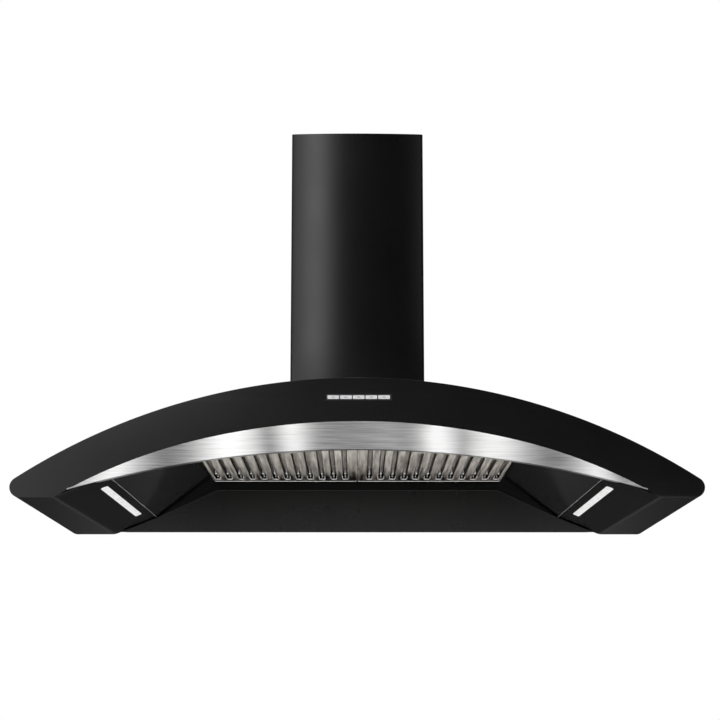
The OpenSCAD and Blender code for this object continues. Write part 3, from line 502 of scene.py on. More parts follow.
class Finishes:
    """One material for each slot of the record, and two duller copies of the same paint by name: a
    darker-looking one that paints shade on the back plate in the recess, and one painted lighter towards the
    rear panel's bottom.
    """

    def __init__(self) -> None:
        """Builds all the materials."""
        self.by_slot: dict[Slot, bpy.types.Material] = {
            Slot.PAINT: StovePaint().build(),
            Slot.BAND: BandSteel().build(),
            Slot.FILTER: FilterSteel().build(),
            Slot.LAMP: LampGlow().build(),
            Slot.BOARD: Moulding("green_board", (0.01, 0.08, 0.04), (0.02, 0.14, 0.07)).build(),
            Slot.KEY: Moulding("silver_key", (0.47, 0.47, 0.48), (0.58, 0.58, 0.59), (0.28, 0.36)).build(),
            Slot.PLASTIC: Moulding("black_moulding", (0.006, 0.006, 0.006), (0.014, 0.014, 0.014)).build(),
            Slot.MOTOR: Moulding("motor_lacquer", (0.03, 0.03, 0.033), (0.06, 0.06, 0.065)).build(),
            Slot.ROD: BrushedSteel("drawn_rod", (0.74, 0.73, 0.71), (0.92, 0.91, 0.89),
                                   (0.2, 0.3), (30, 900, 900), (5, 5, 5), metallic=0.5).build(),
            Slot.ZINC: ZincPlate().build(),
        }
        self.coats = {
            # painted shade: the back plate gets a duller copy of the paint that reflects less, so the recess
            # behind the filters looks darker
            "back_plate": StovePaint("dull_black_coat", rough=(0.25, 0.32), specular=0.15).build(),
            # painted light: the rear panel's copy is lightened towards its bottom by the foot
            "rear_cover": StovePaint("rear_panel_coat", rough=(0.26, 0.30), specular=0.26, foot=9.0).build(),
        }

    def dress(self, piece: bpy.types.Object, slot: Slot) -> None:
        """Gives a new piece a slot's material, or by its name a lit or shaded copy of the paint.

        Args:
            piece: The piece.
            slot: The record's slot.
        """
        piece.data.materials.clear()
        piece.data.materials.append(self.coats.get(piece.name, self.by_slot[slot]))

    def dress_frame(self, frame: dict) -> None:
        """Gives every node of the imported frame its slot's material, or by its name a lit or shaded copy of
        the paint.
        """
        slots = {s["node"]: Slot(s["material_slot"]) for s in frame["record"]["subparts"]}
        for name, node in frame["nodes"].items():
            node.data.materials.clear()
            node.data.materials.append(self.coats.get(name, self.by_slot[slots[name]]))


class Maker:
    """Makes mesh objects from rings of points, outlines and loops."""

    def __init__(self, finishes: Finishes) -> None:
        """Keeps the finishes that its pieces get."""
        self.finishes = finishes

    def piece(self, name: str, mesh: bpy.types.Mesh, slot: Slot, body: str,
              stands_for: Sequence[str] = (), edge: float = 0.0,
              smooth_angle: float = 35.0) -> bpy.types.Object:
        """Turns a mesh into a dressed piece that rides on a body.

        Args:
            name: The piece's name.
            mesh: Its mesh, in the hood's frame.
            slot: Its material slot.
            body: The body that it moves with.
            stands_for: Nodes that it replaces.
            edge: Width of the rounding on its sharp edges.
            smooth_angle: Edges sharper than this stay sharp, in degrees.

        Returns:
            The new object.
        """
        mesh.shade_smooth()
        mesh.set_sharp_from_angle(angle=math.radians(smooth_angle))
        thing = bpy.data.objects.new(name, mesh)
        bpy.context.scene.collection.objects.link(thing)
        if edge > 0.0:
            bevel = thing.modifiers.new("soft_edges", "BEVEL")
            bevel.width = edge
            bevel.segments = 2
            bevel.limit_method = "ANGLE"
            bevel.angle_limit = math.radians(smooth_angle)
        even = thing.modifiers.new("even_faces", "WEIGHTED_NORMAL")
        even.keep_sharp = True
        even.weight = 80
        self.finishes.dress(thing, slot)
        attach(thing, body)
        if stands_for:
            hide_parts(*stands_for)
        LOG.info("%s: %d faces, rides on %s", name, len(mesh.polygons), body)
        return thing

    @staticmethod
    def loft(name: str, rings: Sequence[Sequence[Point3]], closed: bool = True,
             caps: bool = True) -> bpy.types.Mesh:
        """Joins rings of points by quads, with a UV map along and across them.

        Args:
            name: The mesh's name.
            rings: Rings of as many points each.
            closed: Whether each ring closes on itself.
            caps: Whether the first and last rings are filled.

        Returns:
            The mesh.
        """
        built = bmesh.new()
        uv = built.loops.layers.uv.new("UVMap")
        rows = [[built.verts.new(p) for p in ring] for ring in rings]
        count = len(rings[0])
        last = count if closed else count - 1
        for i in range(len(rows) - 1):
            for j in range(last):
                k = (j + 1) % count
                face = built.faces.new((rows[i][j], rows[i][k], rows[i + 1][k], rows[i + 1][j]))
                places = ((i, j), (i, j + 1), (i + 1, j + 1), (i + 1, j))
                for loop, (along, across) in zip(face.loops, places):
                    loop[uv].uv = (along / len(rows), across / count)
        if caps and closed:
            built.faces.new(rows[0][::-1])
            built.faces.new(rows[-1])
        bmesh.ops.recalc_face_normals(built, faces=built.faces)
        mesh = bpy.data.meshes.new(name)
        built.to_mesh(mesh)
        built.free()
        return mesh

    @staticmethod
    def join(name: str, meshes: Sequence[bpy.types.Mesh]) -> bpy.types.Mesh:
        """Joins several meshes into one.

        Args:
            name: The joined mesh's name.
            meshes: The meshes, which are removed.

        Returns:
            The joined mesh.
        """
        built = bmesh.new()
        for mesh in meshes:
            built.from_mesh(mesh)
            bpy.data.meshes.remove(mesh)
        joined = bpy.data.meshes.new(name)
        built.to_mesh(joined)
        built.free()
        return joined

    @staticmethod
    def plate(name: str, outlines: Sequence[Sequence[Point]], thick: float, edge: float) -> bpy.types.Mesh:
        """Makes a flat plate with holes and rounded edges, lying in XY from Z 0 up.

        Args:
            name: The mesh's name.
            outlines: The outer outline first, then the holes.
            thick: The plate's thickness.
            edge: Radius of its edges.

        Returns:
            The mesh.
        """
        curve = bpy.data.curves.new(name, "CURVE")
        curve.dimensions = "2D"
        curve.fill_mode = "BOTH"
        curve.extrude = thick / 2 - edge
        curve.bevel_depth = edge
        curve.bevel_resolution = 1
        curve.offset = -edge
        for outline in outlines:
            spline = curve.splines.new("POLY")
            spline.points.add(len(outline) - 1)
            for point, (x, y) in zip(spline.points, outline):
                point.co = (x, y, 0.0, 1.0)
            spline.use_cyclic_u = True
        holder = bpy.data.objects.new(name, curve)
        mesh = bpy.data.meshes.new_from_object(holder)
        bpy.data.objects.remove(holder)
        bpy.data.curves.remove(curve)
        mesh.transform(Matrix.Translation((0.0, 0.0, thick / 2)))
        built = bmesh.new()
        built.from_mesh(mesh)
        bmesh.ops.remove_doubles(built, verts=built.verts, dist=1e-6)
        bmesh.ops.recalc_face_normals(built, faces=built.faces)
        built.to_mesh(mesh)
        built.free()
        mesh.materials.clear()
        return mesh

    @staticmethod
    def stand(mesh: bpy.types.Mesh, back: float) -> bpy.types.Mesh:
        """Stands a flat plate up: its X stays, its Y becomes Z, its thickness goes towards the room.

        Args:
            mesh: The plate, lying from Z 0 up.
            back: Distance of the plate's back from the wall.

        Returns:
            The same mesh.
        """
        turn = Matrix(((1, 0, 0, 0), (0, 0, -1, -back), (0, 1, 0, 0), (0, 0, 0, 1)))
        mesh.transform(turn)
        return mesh

    @staticmethod
    def cut(mesh: bpy.types.Mesh, cutter: bpy.types.Mesh) -> bpy.types.Mesh:
        """Cuts one closed mesh out of another.

        Args:
            mesh: The mesh that is cut.
            cutter: The closed mesh that is taken away, which is removed.

        Returns:
            A new mesh.
        """
        base = bpy.data.objects.new("base", mesh)
        tool = bpy.data.objects.new("tool", cutter)
        for thing in (base, tool):
            bpy.context.scene.collection.objects.link(thing)
        change = base.modifiers.new("cut", "BOOLEAN")
        change.operation = "DIFFERENCE"
        change.solver = "EXACT"
        change.object = tool
        graph = bpy.context.evaluated_depsgraph_get()
        result = bpy.data.meshes.new_from_object(base.evaluated_get(graph))
        bpy.data.objects.remove(base)
        bpy.data.objects.remove(tool)
        bpy.data.meshes.remove(cutter)
        result.materials.clear()
        return result

    @staticmethod
    def brick(name: str, low: Point3, high: Point3) -> bpy.types.Mesh:
        """Makes a closed block between two corners.

        Args:
            name: The mesh's name.
            low: Lowest corner.
            high: Highest corner.

        Returns:
            The mesh.
        """
        ring = [(low[0], low[1]), (high[0], low[1]), (high[0], high[1]), (low[0], high[1])]
        return Maker.loft(name, [[(x, y, z) for x, y in ring] for z in (low[2], high[2])])


def arc(centre: Point, radius: float, start: float, end: float, steps: int) -> list[Point]:
    """Points on an arc.

    Args:
        centre: The arc's centre.
        radius: Its radius.
        start: First angle in degrees.
        end: Last angle in degrees.
        steps: Number of chords.

    Returns:
        The points, both ends included.
    """
    angles = (math.radians(start + (end - start) * i / steps) for i in range(steps + 1))
    return [(centre[0] + radius * math.cos(a), centre[1] + radius * math.sin(a)) for a in angles]


@dataclass(frozen=True)
class CanopyOutline:
    """Front outline of the canopy: a shallow arch, two rounded tips, a flat underside."""

    width: float = 1000 * MM
    crown: float = 171 * MM
    rim: float = -4 * MM
    tip: float = 15 * MM

    @property
    def tip_x(self) -> float:
        """Distance of a tip's centre from the middle."""
        return self.width / 2 - self.tip

    @property
    def tip_z(self) -> float:
        """Height of a tip's centre."""
        return self.rim + self.tip

    @property
    def radius(self) -> float:
        """Radius of the arch, which runs smoothly into both tips."""
        rise = self.crown - self.tip_z
        return (self.tip_x ** 2 + rise ** 2 - self.tip ** 2) / (2 * (rise - self.tip))

    def arch_z(self, x: float, inset: float = 0.0) -> float:
        """Height of the arch at one place.

        Args:
            x: Distance from the middle.
            inset: How far inside the outer face.

        Returns:
            The height.
        """
        return self.crown - self.radius + math.sqrt((self.radius - inset) ** 2 - x * x)

    def over_top(self, inset: float = 0.0, arch_steps: int = 144, tip_steps: int = 16) -> list[Point]:
        """The outline from the right tip's foot over the arch to the left tip's foot.

        Args:
            inset: How far inside the outer face.
            arch_steps: Chords of the arch.
            tip_steps: Chords of each tip.

        Returns:
            The points, from right to left.
        """
        lean = math.degrees(math.asin(self.tip_x / (self.radius - self.tip)))
        right = arc((self.tip_x, self.tip_z), self.tip - inset, -90, 90 - lean, tip_steps)
        middle = arc((0.0, self.crown - self.radius), self.radius - inset, 90 - lean, 90 + lean, arch_steps)
        left = [(-x, z) for x, z in reversed(right)]
        return right + middle[1:-1] + left


@dataclass(frozen=True)
class BandOutline:
    """Upper and lower edges of the steel band."""

    top: float = 106.5 * MM
    crown_r: float = 985 * MM
    side_r: float = 758 * MM
    blend_deg: float = 13.5
    low: float = 65.6 * MM
    low_r: float = 1515 * MM

    def upper(self, x: float, drop: float = 0.0) -> float:
        """Height of the upper edge.

        Args:
            x: Distance from the middle.
            drop: How far below the edge.

        Returns:
            The height.
        """
        x = abs(x)
        spread = (self.crown_r - self.side_r) * math.sin(math.radians(self.blend_deg))
        lift = (self.crown_r - self.side_r) * math.cos(math.radians(self.blend_deg))
        base = self.top - self.crown_r
        if x <= (self.crown_r - drop) * math.sin(math.radians(self.blend_deg)):
            return base + math.sqrt((self.crown_r - drop) ** 2 - x * x)
        return base + lift + math.sqrt((self.side_r - drop) ** 2 - (x - spread) ** 2)

    def lower(self, x: float) -> float:
        """Height of the lower edge at a distance from the middle."""
        return self.low - self.low_r + math.sqrt(self.low_r ** 2 - x * x)

    def reach(self, height: Callable[[float], float]) -> float:
        """Finds where the upper edge comes down to a height.

        Args:
            height: The height as a function of the distance from the middle.

        Returns:
            The distance from the middle.
        """
        near, far = 0.3, 0.46
        for _ in range(40):
            middle = (near + far) / 2
            if self.upper(middle) > height(middle):
                near = middle
            else:
                far = middle
        return near


@dataclass
class Canopy:
    """The arched shell, its black front plate and the steel band."""

    outline: CanopyOutline = CanopyOutline()
    band: BandOutline = BandOutline()
    depth: float = 556 * MM
    sheet: float = 1.2 * MM
    band_t: float = 1.5 * MM
    fascia_t: float = 2.0 * MM
    lap: float = 10 * MM
    flange: float = 12 * MM
    lip: float = 5 * MM
    key_window: tuple[float, float, float, float] = (-45.9 * MM, 49.9 * MM, 137.4 * MM, 146.6 * MM)
    blower_hole: tuple[float, float, float, float] = (-79 * MM, 79 * MM, -241 * MM, -39 * MM)

    def build(self, maker: Maker) -> None:
        """Builds all the canopy's pieces."""
        self.build_shell(maker)
        self.build_fascia(maker)
        self.build_band(maker)

    @property
    def fascia_back(self) -> float:
        """Distance of the front plate's back from the wall."""
        return self.depth - self.band_t - self.fascia_t

    def build_shell(self, maker: Maker) -> None:
        """Builds the bent sheet with its inturned lips."""
        lip_x = self.outline.tip_x - self.lip
        outer = self.outline.over_top()
        inner = self.outline.over_top(self.sheet)
        ring = ([(lip_x, self.outline.rim)] + outer + [(-lip_x, self.outline.rim)]
                + [(-lip_x, self.outline.rim + self.sheet)] + inner[::-1]
                + [(lip_x, self.outline.rim + self.sheet)])
        rings = [[(x, -y, z) for x, z in ring] for y in (0.0, self.fascia_back / 2, self.fascia_back)]
        x0, x1, y0, y1 = self.blower_hole
        cutter = maker.brick("hole", (x0, y0, 0.1), (x1, y1, 0.3))
        mesh = maker.cut(maker.loft("canopy_skin", rings), cutter)
        maker.piece("canopy_skin", mesh, Slot.PAINT, "hood", ["canopy_shell"], 0.25 * MM)

    def build_fascia(self, maker: Maker) -> None:
        """Builds the black front plate, open behind the steel band."""
        foot = self.band.reach(lambda x: self.outline.rim)
        end = self.band.reach(self.band.lower)
        clear = self.band_t + 0.3 * MM

        def under(x: float) -> float:
            """Height of the plate's lower edge."""
            if abs(x) >= end:
                return max(self.band.upper(x), self.outline.rim)
            return max(self.band.upper(x, self.lap), self.band.lower(x) + clear)

        steps = 150
        lower = [(foot * (2 * i / steps - 1), under(foot * (2 * i / steps - 1))) for i in range(steps + 1)]
        ring = lower + self.outline.over_top(0.0, 144, 18)
        x0, x1, z0, z1 = self.key_window
        window = [(x0, z0), (x1, z0), (x1, z1), (x0, z1)]
        mesh = maker.plate("fascia_plate", [ring, window], self.fascia_t, 0.35 * MM)
        maker.piece("fascia_plate", maker.stand(mesh, self.fascia_back), Slot.PAINT, "hood",
                    ["front_fascia"])

    def build_band(self, maker: Maker) -> None:
        """Builds the brushed band with its inturned lower flange."""
        end = self.band.reach(self.band.lower)
        face, back = self.depth, self.depth - self.band_t
        inner = self.depth - self.flange
        soft = 0.9 * MM
        steps = 300
        rings = []
        for i in range(steps + 1):
            x = end * (2 * i / steps - 1)
            low = self.band.lower(x)
            top = max(self.band.upper(x), low + 2.2 * soft)
            fade = min(1.0, max(0.0, (0.378 - abs(x)) / 0.004))
            reach = back - (back - inner) * fade
            corner = arc((face - soft, low + soft), soft, -90, 0, 5)
            rim = arc((face - soft / 2, top - soft / 2), soft / 2, 0, 90, 3)
            profile = ([(reach, low + self.sheet), (reach, low)] + corner + rim
                       + [(back, top), (back, low + self.sheet)])
            rings.append([(x, -y, z) for y, z in profile])
        maker.piece("band_sheet", maker.loft("band_sheet", rings), Slot.BAND, "hood", ["steel_band"])


@dataclass
class Underside:
    """The folded sheets beside the filters, the rear panel and the panel before the filters."""

    outline: CanopyOutline = CanopyOutline()
    depth: float = 556 * MM
    sheet: float = 1.2 * MM
    gap: float = 0.3 * MM
    fold: Point = (420 * MM, 437 * MM)
    seam: Point = (348 * MM, 359 * MM)
    seam_z: float = 25.2 * MM
    fold_r: float = 26 * MM
    ledge_z: float = 86 * MM
    ledge_x: float = 248.2 * MM
    ledge_h: float = 8 * MM
    filter_front: float = 402 * MM
    lamp_from_seam: float = 17.8 * MM
    lamp_mid: float = 290 * MM
    lamp_len: float = 370 * MM
    lamp_w: float = 10.8 * MM
    hem: float = 0.35 * MM

    @property
    def lamp_slope(self) -> float:
        """Rise of the lamp panel towards the middle."""
        return (self.seam_z - self.outline.rim) / (self.fold[0] - self.seam[0])

    @property
    def side_slope(self) -> float:
        """Rise of the side panel towards the middle."""
        return (self.ledge_z - self.seam_z) / (self.seam[0] - self.ledge_x - 0.6 * MM)

    def fold_x(self, y: float) -> float:
        """Distance of the pod's fold from the middle, at a distance from the wall."""
        return self.fold[0] + (self.fold[1] - self.fold[0]) * y / self.depth

    def seam_x(self, y: float) -> float:
        """Distance of the seam from the middle, at a distance from the wall."""
        return self.seam[0] + (self.seam[1] - self.seam[0]) * y / self.depth

    def seam_height(self, y: float) -> float:
        """Height of the seam, at a distance from the wall."""
        return self.outline.rim + self.lamp_slope * (self.fold_x(y) - self.seam_x(y))

    def side_x(self, z: float, y: float) -> float:
        """Distance of the side panel from the middle, at a height and a distance from the wall."""
        return self.seam_x(y) - (z - self.seam_height(y)) / self.side_slope

    def section(self, y: float) -> list[Point]:
        """The folded sheet's visible face, from the pod's lip to the side panel's top."""
        lean = math.atan(self.lamp_slope)
        run = self.fold_r * math.tan(lean / 2)
        rim = self.outline.rim
        bend = [(self.fold_x(y) + run - self.fold_r * math.sin(lean * i / 12),
                 rim + self.fold_r - self.fold_r * math.cos(lean * i / 12)) for i in range(13)]
        lip = self.outline.tip_x - 5 * MM - self.gap
        return [(lip, rim)] + bend + [(self.seam_x(y), self.seam_height(y)),
                                      (self.side_x(self.ledge_z, y), self.ledge_z)]

    def thick_section(self, y: float) -> list[Point]:
        """The folded sheet's whole section, its inner face a sheet's thickness above."""
        face = self.section(y)
        lean_lamp = math.atan(self.lamp_slope)
        lean_side = math.atan(self.side_slope)
        inner = []
        for i, (x, z) in enumerate(face):
            if i == 0:
                inner.append((x, z + self.sheet))
            elif i <= 13:
                turn = lean_lamp * (i - 1) / 12
                inner.append((x + self.sheet * math.sin(turn), z + self.sheet * math.cos(turn)))
            else:
                turn = (lean_lamp + lean_side) / 2 if i == 14 else lean_side
                inner.append((x + self.sheet * math.sin(turn), z + self.sheet * math.cos(turn)))
        top_x, top_z = inner[-1]
        inner[-1] = (top_x + (top_z - self.ledge_z) / self.side_slope, self.ledge_z)
        return face + inner[::-1]

    def lamp_frame(self) -> Matrix:
        """The lamp's own axes: X away from the seam, Y to the room, Z up through the sheet."""
        y = self.lamp_mid
        along = Vector(((self.seam[1] - self.seam[0]) / self.depth, -1.0,
                        (self.seam_height(self.depth) - self.seam_height(0.0)) / self.depth)).normalized()
        up = Vector((-1.0, 0.0, self.lamp_slope)).cross(along).normalized()
        across = along.cross(up)
        x = self.seam_x(y) + self.lamp_from_seam
        z = self.outline.rim + self.lamp_slope * (self.fold_x(y) - x)
        rows = [(across[i], along[i], up[i], (x, -y, z)[i]) for i in range(3)]
        return Matrix((*rows, (0, 0, 0, 1)))

    def lamp_outline(self, grow: float, steps: int = 12) -> list[Point]:
        """The lens's outline: a full round towards the room, small rounds at the wall."""
        half = self.lamp_w / 2 + grow
        end = self.lamp_len / 2 + grow
        soft = self.lamp_w / 4
        return (arc((0.0, end - half), half, 0, 180, 2 * steps)
                + arc((soft - half, soft - end), soft, 180, 270, steps)
                + arc((half - soft, soft - end), soft, 270, 360, steps))

    def build(self, maker: Maker) -> None:
        """Builds the underside's pieces on both sides."""
        for side in Side:
            self.build_tray(maker, side)
            self.build_seam(maker, side)
            self.build_lamp(maker, side)
        self.build_rear_panel(maker)
        self.build_front_panel(maker)

    def place_side(self, mesh: bpy.types.Mesh, side: Side) -> bpy.types.Mesh:
        """Mirrors a right-hand mesh for the left side."""
        if side is Side.LEFT:
            mesh.transform(Matrix.Scale(-1.0, 4, (1, 0, 0)))
            mesh.flip_normals()
        return mesh

    def build_tray(self, maker: Maker, side: Side) -> None:
        """Builds one folded sheet with its lamp slot and the filter's ledge."""
        front = self.depth - 3.5 * MM - self.gap
        rows = 12
        places = [self.sheet + (front - self.sheet) * i / rows for i in range(rows + 1)]
        skin = maker.loft("skin", [[(x, -y, z) for x, z in self.thick_section(y)] for y in places])
        slot = maker.plate("slot", [self.lamp_outline(self.gap / 2)], 6 * MM, 0.0)
        slot.transform(self.lamp_frame() @ Matrix.Translation((0, 0, -2 * MM)))
        skin = maker.cut(skin, slot)
        y0, y1 = 2 * self.sheet, self.filter_front - self.gap
        low, high = self.ledge_z - 0.1 * MM, self.ledge_z + self.sheet
        rings = [[(self.ledge_x, -y, low), (self.side_x(self.ledge_z, y) + self.sheet, -y, low),
                  (self.side_x(self.ledge_z, y) + self.sheet, -y, high),
                  (self.ledge_x + self.sheet, -y, high),
                  (self.ledge_x + self.sheet, -y, self.ledge_z + self.ledge_h),
                  (self.ledge_x, -y, self.ledge_z + self.ledge_h)] for y in (y0, y1)]
        mesh = maker.join("tray", [skin, maker.loft("ledge", rings)])
        maker.piece(f"tray_{side.word}", self.place_side(mesh, side), Slot.PAINT, "hood",
                    [f"underside_{side.word}"], 0.2 * MM, 8.0)

    def build_seam(self, maker: Maker, side: Side) -> None:
        """Builds the narrow rolled hem along the seam beside the lamp, in bright steel, so that it shows as a
        painted highlight line on the black sheet.
        """
        rings = []
        for y in (3 * MM, self.depth - 6 * MM):
            x, z = self.seam_x(y), self.seam_height(y)
            rings.append([(x + self.hem * dx, -y, z + self.hem * dz + 0.25 * MM)
                          for dx, dz in arc((0.0, 0.0), 1.0, 0, 330, 11)])
        mesh = self.place_side(maker.loft("hem", rings), side)
        # painted highlight: the hem is bright steel where the black sheet's seam only catches light
        maker.piece(f"seam_hem_{side.word}", mesh, Slot.ROD, "hood")

    def build_lamp(self, maker: Maker, side: Side) -> None:
        """Builds one lamp's lens with a rounded rim."""
        mesh = maker.plate("lens", [self.lamp_outline(0.0)], 2.3 * MM, 0.4 * MM)
        mesh.transform(self.lamp_frame() @ Matrix.Translation((0, 0, -0.3 * MM)))
        maker.piece(f"lens_{side.word}", self.place_side(mesh, side), Slot.LAMP, "hood",
                    [f"lamp_lens_{side.word}"])

    def build_rear_panel(self, maker: Maker) -> None:
        """Builds the panel at the wall, with its foot turned back to the back plate."""
        y = 13.2 * MM
        gap = 2 * MM
        foot_z, top_z, top_x = -0.5 * MM, 71.8 * MM, 243 * MM
        foot_x = self.fold_x(y) - (foot_z + gap - self.outline.rim) / self.lamp_slope
        side_x = self.seam_x(y) - gap
        side_z = self.seam_height(y) - gap / 2
        half = [(foot_x, foot_z), (side_x, side_z), (top_x, top_z)]
        outline = half + [(-x, z) for x, z in half[::-1]]
        plate = maker.stand(maker.plate("rear", [outline], self.sheet, 0.3 * MM), y - self.sheet)
        shelf = maker.brick("shelf", (-foot_x + 6 * MM, -y + self.sheet, foot_z),
                            (foot_x - 6 * MM, -self.sheet, foot_z + self.sheet))
        maker.piece("rear_cover", maker.join("rear", [plate, shelf]), Slot.PAINT, "hood", ["rear_panel"])
        lip = 0.5 * MM
        line = [(-side_x, side_z), (-top_x, top_z), (top_x, top_z), (side_x, side_z)]
        rings = [[(px, -y + lip * c, pz - lip + lip * s) for c, s in arc((0.0, 0.0), 1.0, 0, 330, 11)]
                 for px, pz in line]
        maker.piece("rear_cover_lip", maker.loft("lip", rings), Slot.PAINT, "hood")

    def build_front_panel(self, maker: Maker) -> None:
        """Builds the sloping panel between the filters and the band."""
        low_y = self.depth - 12.3 * MM
        low_z = 65.6 * MM + 1.8 * MM
        y = self.filter_front
        top_x = self.side_x(self.ledge_z + 1.5 * self.sheet, y) - self.gap
        low_x = self.side_x(low_z + 1.5 * self.sheet, low_y) - self.gap
        rings = []
        for side in (-1, 1):
            rings.append([(side * low_x, -low_y, low_z), (side * top_x, -y, self.ledge_z),
                          (side * top_x, -y - 0.3 * MM, self.ledge_z + self.sheet),
                          (side * low_x, -low_y, low_z + self.sheet)])
        slope = maker.loft("slope", rings)
        wall = maker.brick("wall", (-self.ledge_x + MM, -y - self.sheet, self.ledge_z + 0.1 * MM),
                           (self.ledge_x - MM, -y, self.ledge_z + 15 * MM))
        maker.piece("front_slope", maker.join("front", [slope, wall]), Slot.PAINT, "hood",
                    ["front_panel"], 0.2 * MM)


@dataclass
class BaffleFilter:
    """One baffle filter: frame, lower and upper channels, drain slots and latch."""

    side: Side
    x0: float = 1.0 * MM
    width: float = 246.5 * MM
    rear: float = 20 * MM
    length: float = 380 * MM
    low: float = 86.5 * MM
    height: float = 15 * MM
    steel: float = 0.8 * MM
    gaps: int = 12
    pitch: float = 19.85 * MM
    gap: float = 8.2 * MM
    first: float = 20.3 * MM
    rear_strip: float = 30 * MM
    front_strip: float = 34 * MM
    channel: float = 8 * MM
    lap: float = 2 * MM
    long_gaps: int = 4
    drain: float = 54 * MM
    notch: float = 0.4 * MM
    rod_y: float = 13.5 * MM
    rod_z: float = 97 * MM
    rod_r: float = 2.5 * MM

    @property
    def body(self) -> str:
        """The body that the filter's pieces ride on."""
        return f"filter_{self.side.word}"

    @property
    def front(self) -> float:
        """Distance of the front edge from the wall."""
        return self.rear + self.length

    @property
    def x1(self) -> float:
        """Distance of the outer edge from the middle."""
        return self.x0 + self.width

    @property
    def middle(self) -> float:
        """Distance of the filter's own middle from the hood's."""
        return (self.x0 + self.x1) / 2

    def gap_x(self, i: int) -> float:
        """Distance of a gap's middle from the hood's middle."""
        return self.first + i * self.pitch

    def place(self, mesh: bpy.types.Mesh) -> bpy.types.Mesh:
        """Mirrors a right-hand mesh for the left filter."""
        if self.side is Side.LEFT:
            mesh.transform(Matrix.Scale(-1.0, 4, (1, 0, 0)))
            mesh.flip_normals()
        return mesh

    def build(self, maker: Maker) -> None:
        """Builds the filter's pieces."""
        self.build_frame(maker)
        self.build_lower(maker)
        self.build_upper(maker)

    def build_frame(self, maker: Maker) -> None:
        """Builds the frame's tray: a pierced bottom with one window for each gap, and four walls."""
        y0, y1 = self.rear, self.front
        lip_x = self.x0 - 0.7 * MM
        outer = [(lip_x, -y0), (self.x1, -y0), (self.x1, -y1), (lip_x, -y1)]
        window_x0 = self.gap_x(0) - self.gap / 2
        window_x1 = self.gap_x(self.gaps - 1) + self.gap / 2
        step_x = self.gap_x(self.long_gaps - 1) + self.gap / 2
        window = [(window_x0, -y0 - self.rear_strip), (window_x1, -y0 - self.rear_strip),
                  (window_x1, -y1 + self.front_strip), (step_x, -y1 + self.front_strip),
                  (step_x, -y1 + 3 * MM), (window_x0, -y1 + 3 * MM)]
        grip = [(self.middle - 18 * MM, -y1 + 5 * MM), (self.middle + 18 * MM, -y1 + 5 * MM),
                (self.middle + 18 * MM, -y1 + 16 * MM), (self.middle - 18 * MM, -y1 + 16 * MM)]
        floor = maker.plate("floor", [outer, window, grip], self.steel, 0.2 * MM)
        floor.transform(Matrix.Translation((0, 0, self.low)))
        t = self.steel
        top = self.low + self.height
        walls = [maker.brick("w", (self.x0, -y1 + t, self.low + 0.3 * MM), (self.x0 + t, -y0 - t, top)),
                 maker.brick("w", (self.x1 - t, -y1 + t, self.low + 0.3 * MM), (self.x1, -y0 - t, top)),
                 maker.brick("w", (self.x0, -y0 - t, self.low + 0.3 * MM), (self.x1, -y0, top))]
        nose = [(self.middle - 8.3 * MM, 0.9 * MM), (self.middle + 8.3 * MM, 0.9 * MM),
                (self.middle + 8.3 * MM, 4.3 * MM), (self.middle - 8.3 * MM, 4.3 * MM)]
        front = maker.plate("f", [[(self.x0, 0.0), (self.x1, 0.0), (self.x1, self.height),
                                   (self.x0, self.height)], nose], t, 0.1 * MM)
        front = maker.stand(front, y1 - t)
        front.transform(Matrix.Translation((0, 0, self.low)))
        clips = [self.clip(maker, x) for x in (self.middle - self.width / 4, self.middle + self.width / 4)]
        bead = 0.6 * MM
        hem = maker.loft("hem", [[(x, -y0 - bead + bead * c, self.low - 0.1 * MM + bead * d)
                                  for c, d in arc((0.0, 0.0), 1.0, 0, 330, 11)]
                                 for x in (self.x0 + bead, self.x1 - bead)])
        mesh = maker.join("frame", [floor, front, *walls, *clips])
        maker.piece(f"filter_tray_{self.side.word}", self.place(mesh), Slot.FILTER, self.body,
                    [f"filter_frame_{self.side.word}"])
        # painted highlight: the pressed rims, the studs and the rear hem are bright steel, lighter than the
        # filter sheet, so that they show as bright rims, dots and an edge line
        bright = [self.drain_rim(maker, self.gap_x(i)) for i in range(self.gaps)]
        for i in range(self.gaps):
            bright += [self.stud(maker, self.gap_x(i), 106 * MM, 1.8 * MM, self.low + 0.8 * MM),
                       self.stud(maker, self.gap_x(i), 62 * MM, 1.1 * MM, self.low + 1.6 * MM)]
        maker.piece(f"filter_trim_{self.side.word}", self.place(maker.join("trim", [*bright, hem])),
                    Slot.ROD, self.body)

    def drain_rim(self, maker: Maker, x: float) -> bpy.types.Mesh:
        """Builds the pressed rim round one drain slot's rear end.

        Args:
            maker: Makes the mesh.
            x: The slot's middle.

        Returns:
            The rim's mesh.
        """
        half, soft, thick = self.gap / 2 + 0.9 * MM, 2.0 * MM, 0.8 * MM
        end = -(self.rear + self.rear_strip) + 0.6 * MM
        line = ([(x + half, end - 0.6 * self.drain)] + arc((x + half - soft, end - soft), soft, 0, 90, 5)
                + arc((x - half + soft, end - soft), soft, 90, 180, 5) + [(x - half, end - 0.6 * self.drain)])
        rings = []
        for i, (px, py) in enumerate(line):
            qx, qy = line[min(i + 1, len(line) - 1)]
            ox, oy = line[max(i - 1, 0)]
            way = Vector((qx - ox, qy - oy)).normalized()
            rings.append([(px - way.y * thick * c, py + way.x * thick * c, self.low + 0.05 * MM + thick * d)
                          for c, d in arc((0.0, 0.0), 1.0, 0, 315, 7)])
        return maker.loft("rim", rings)

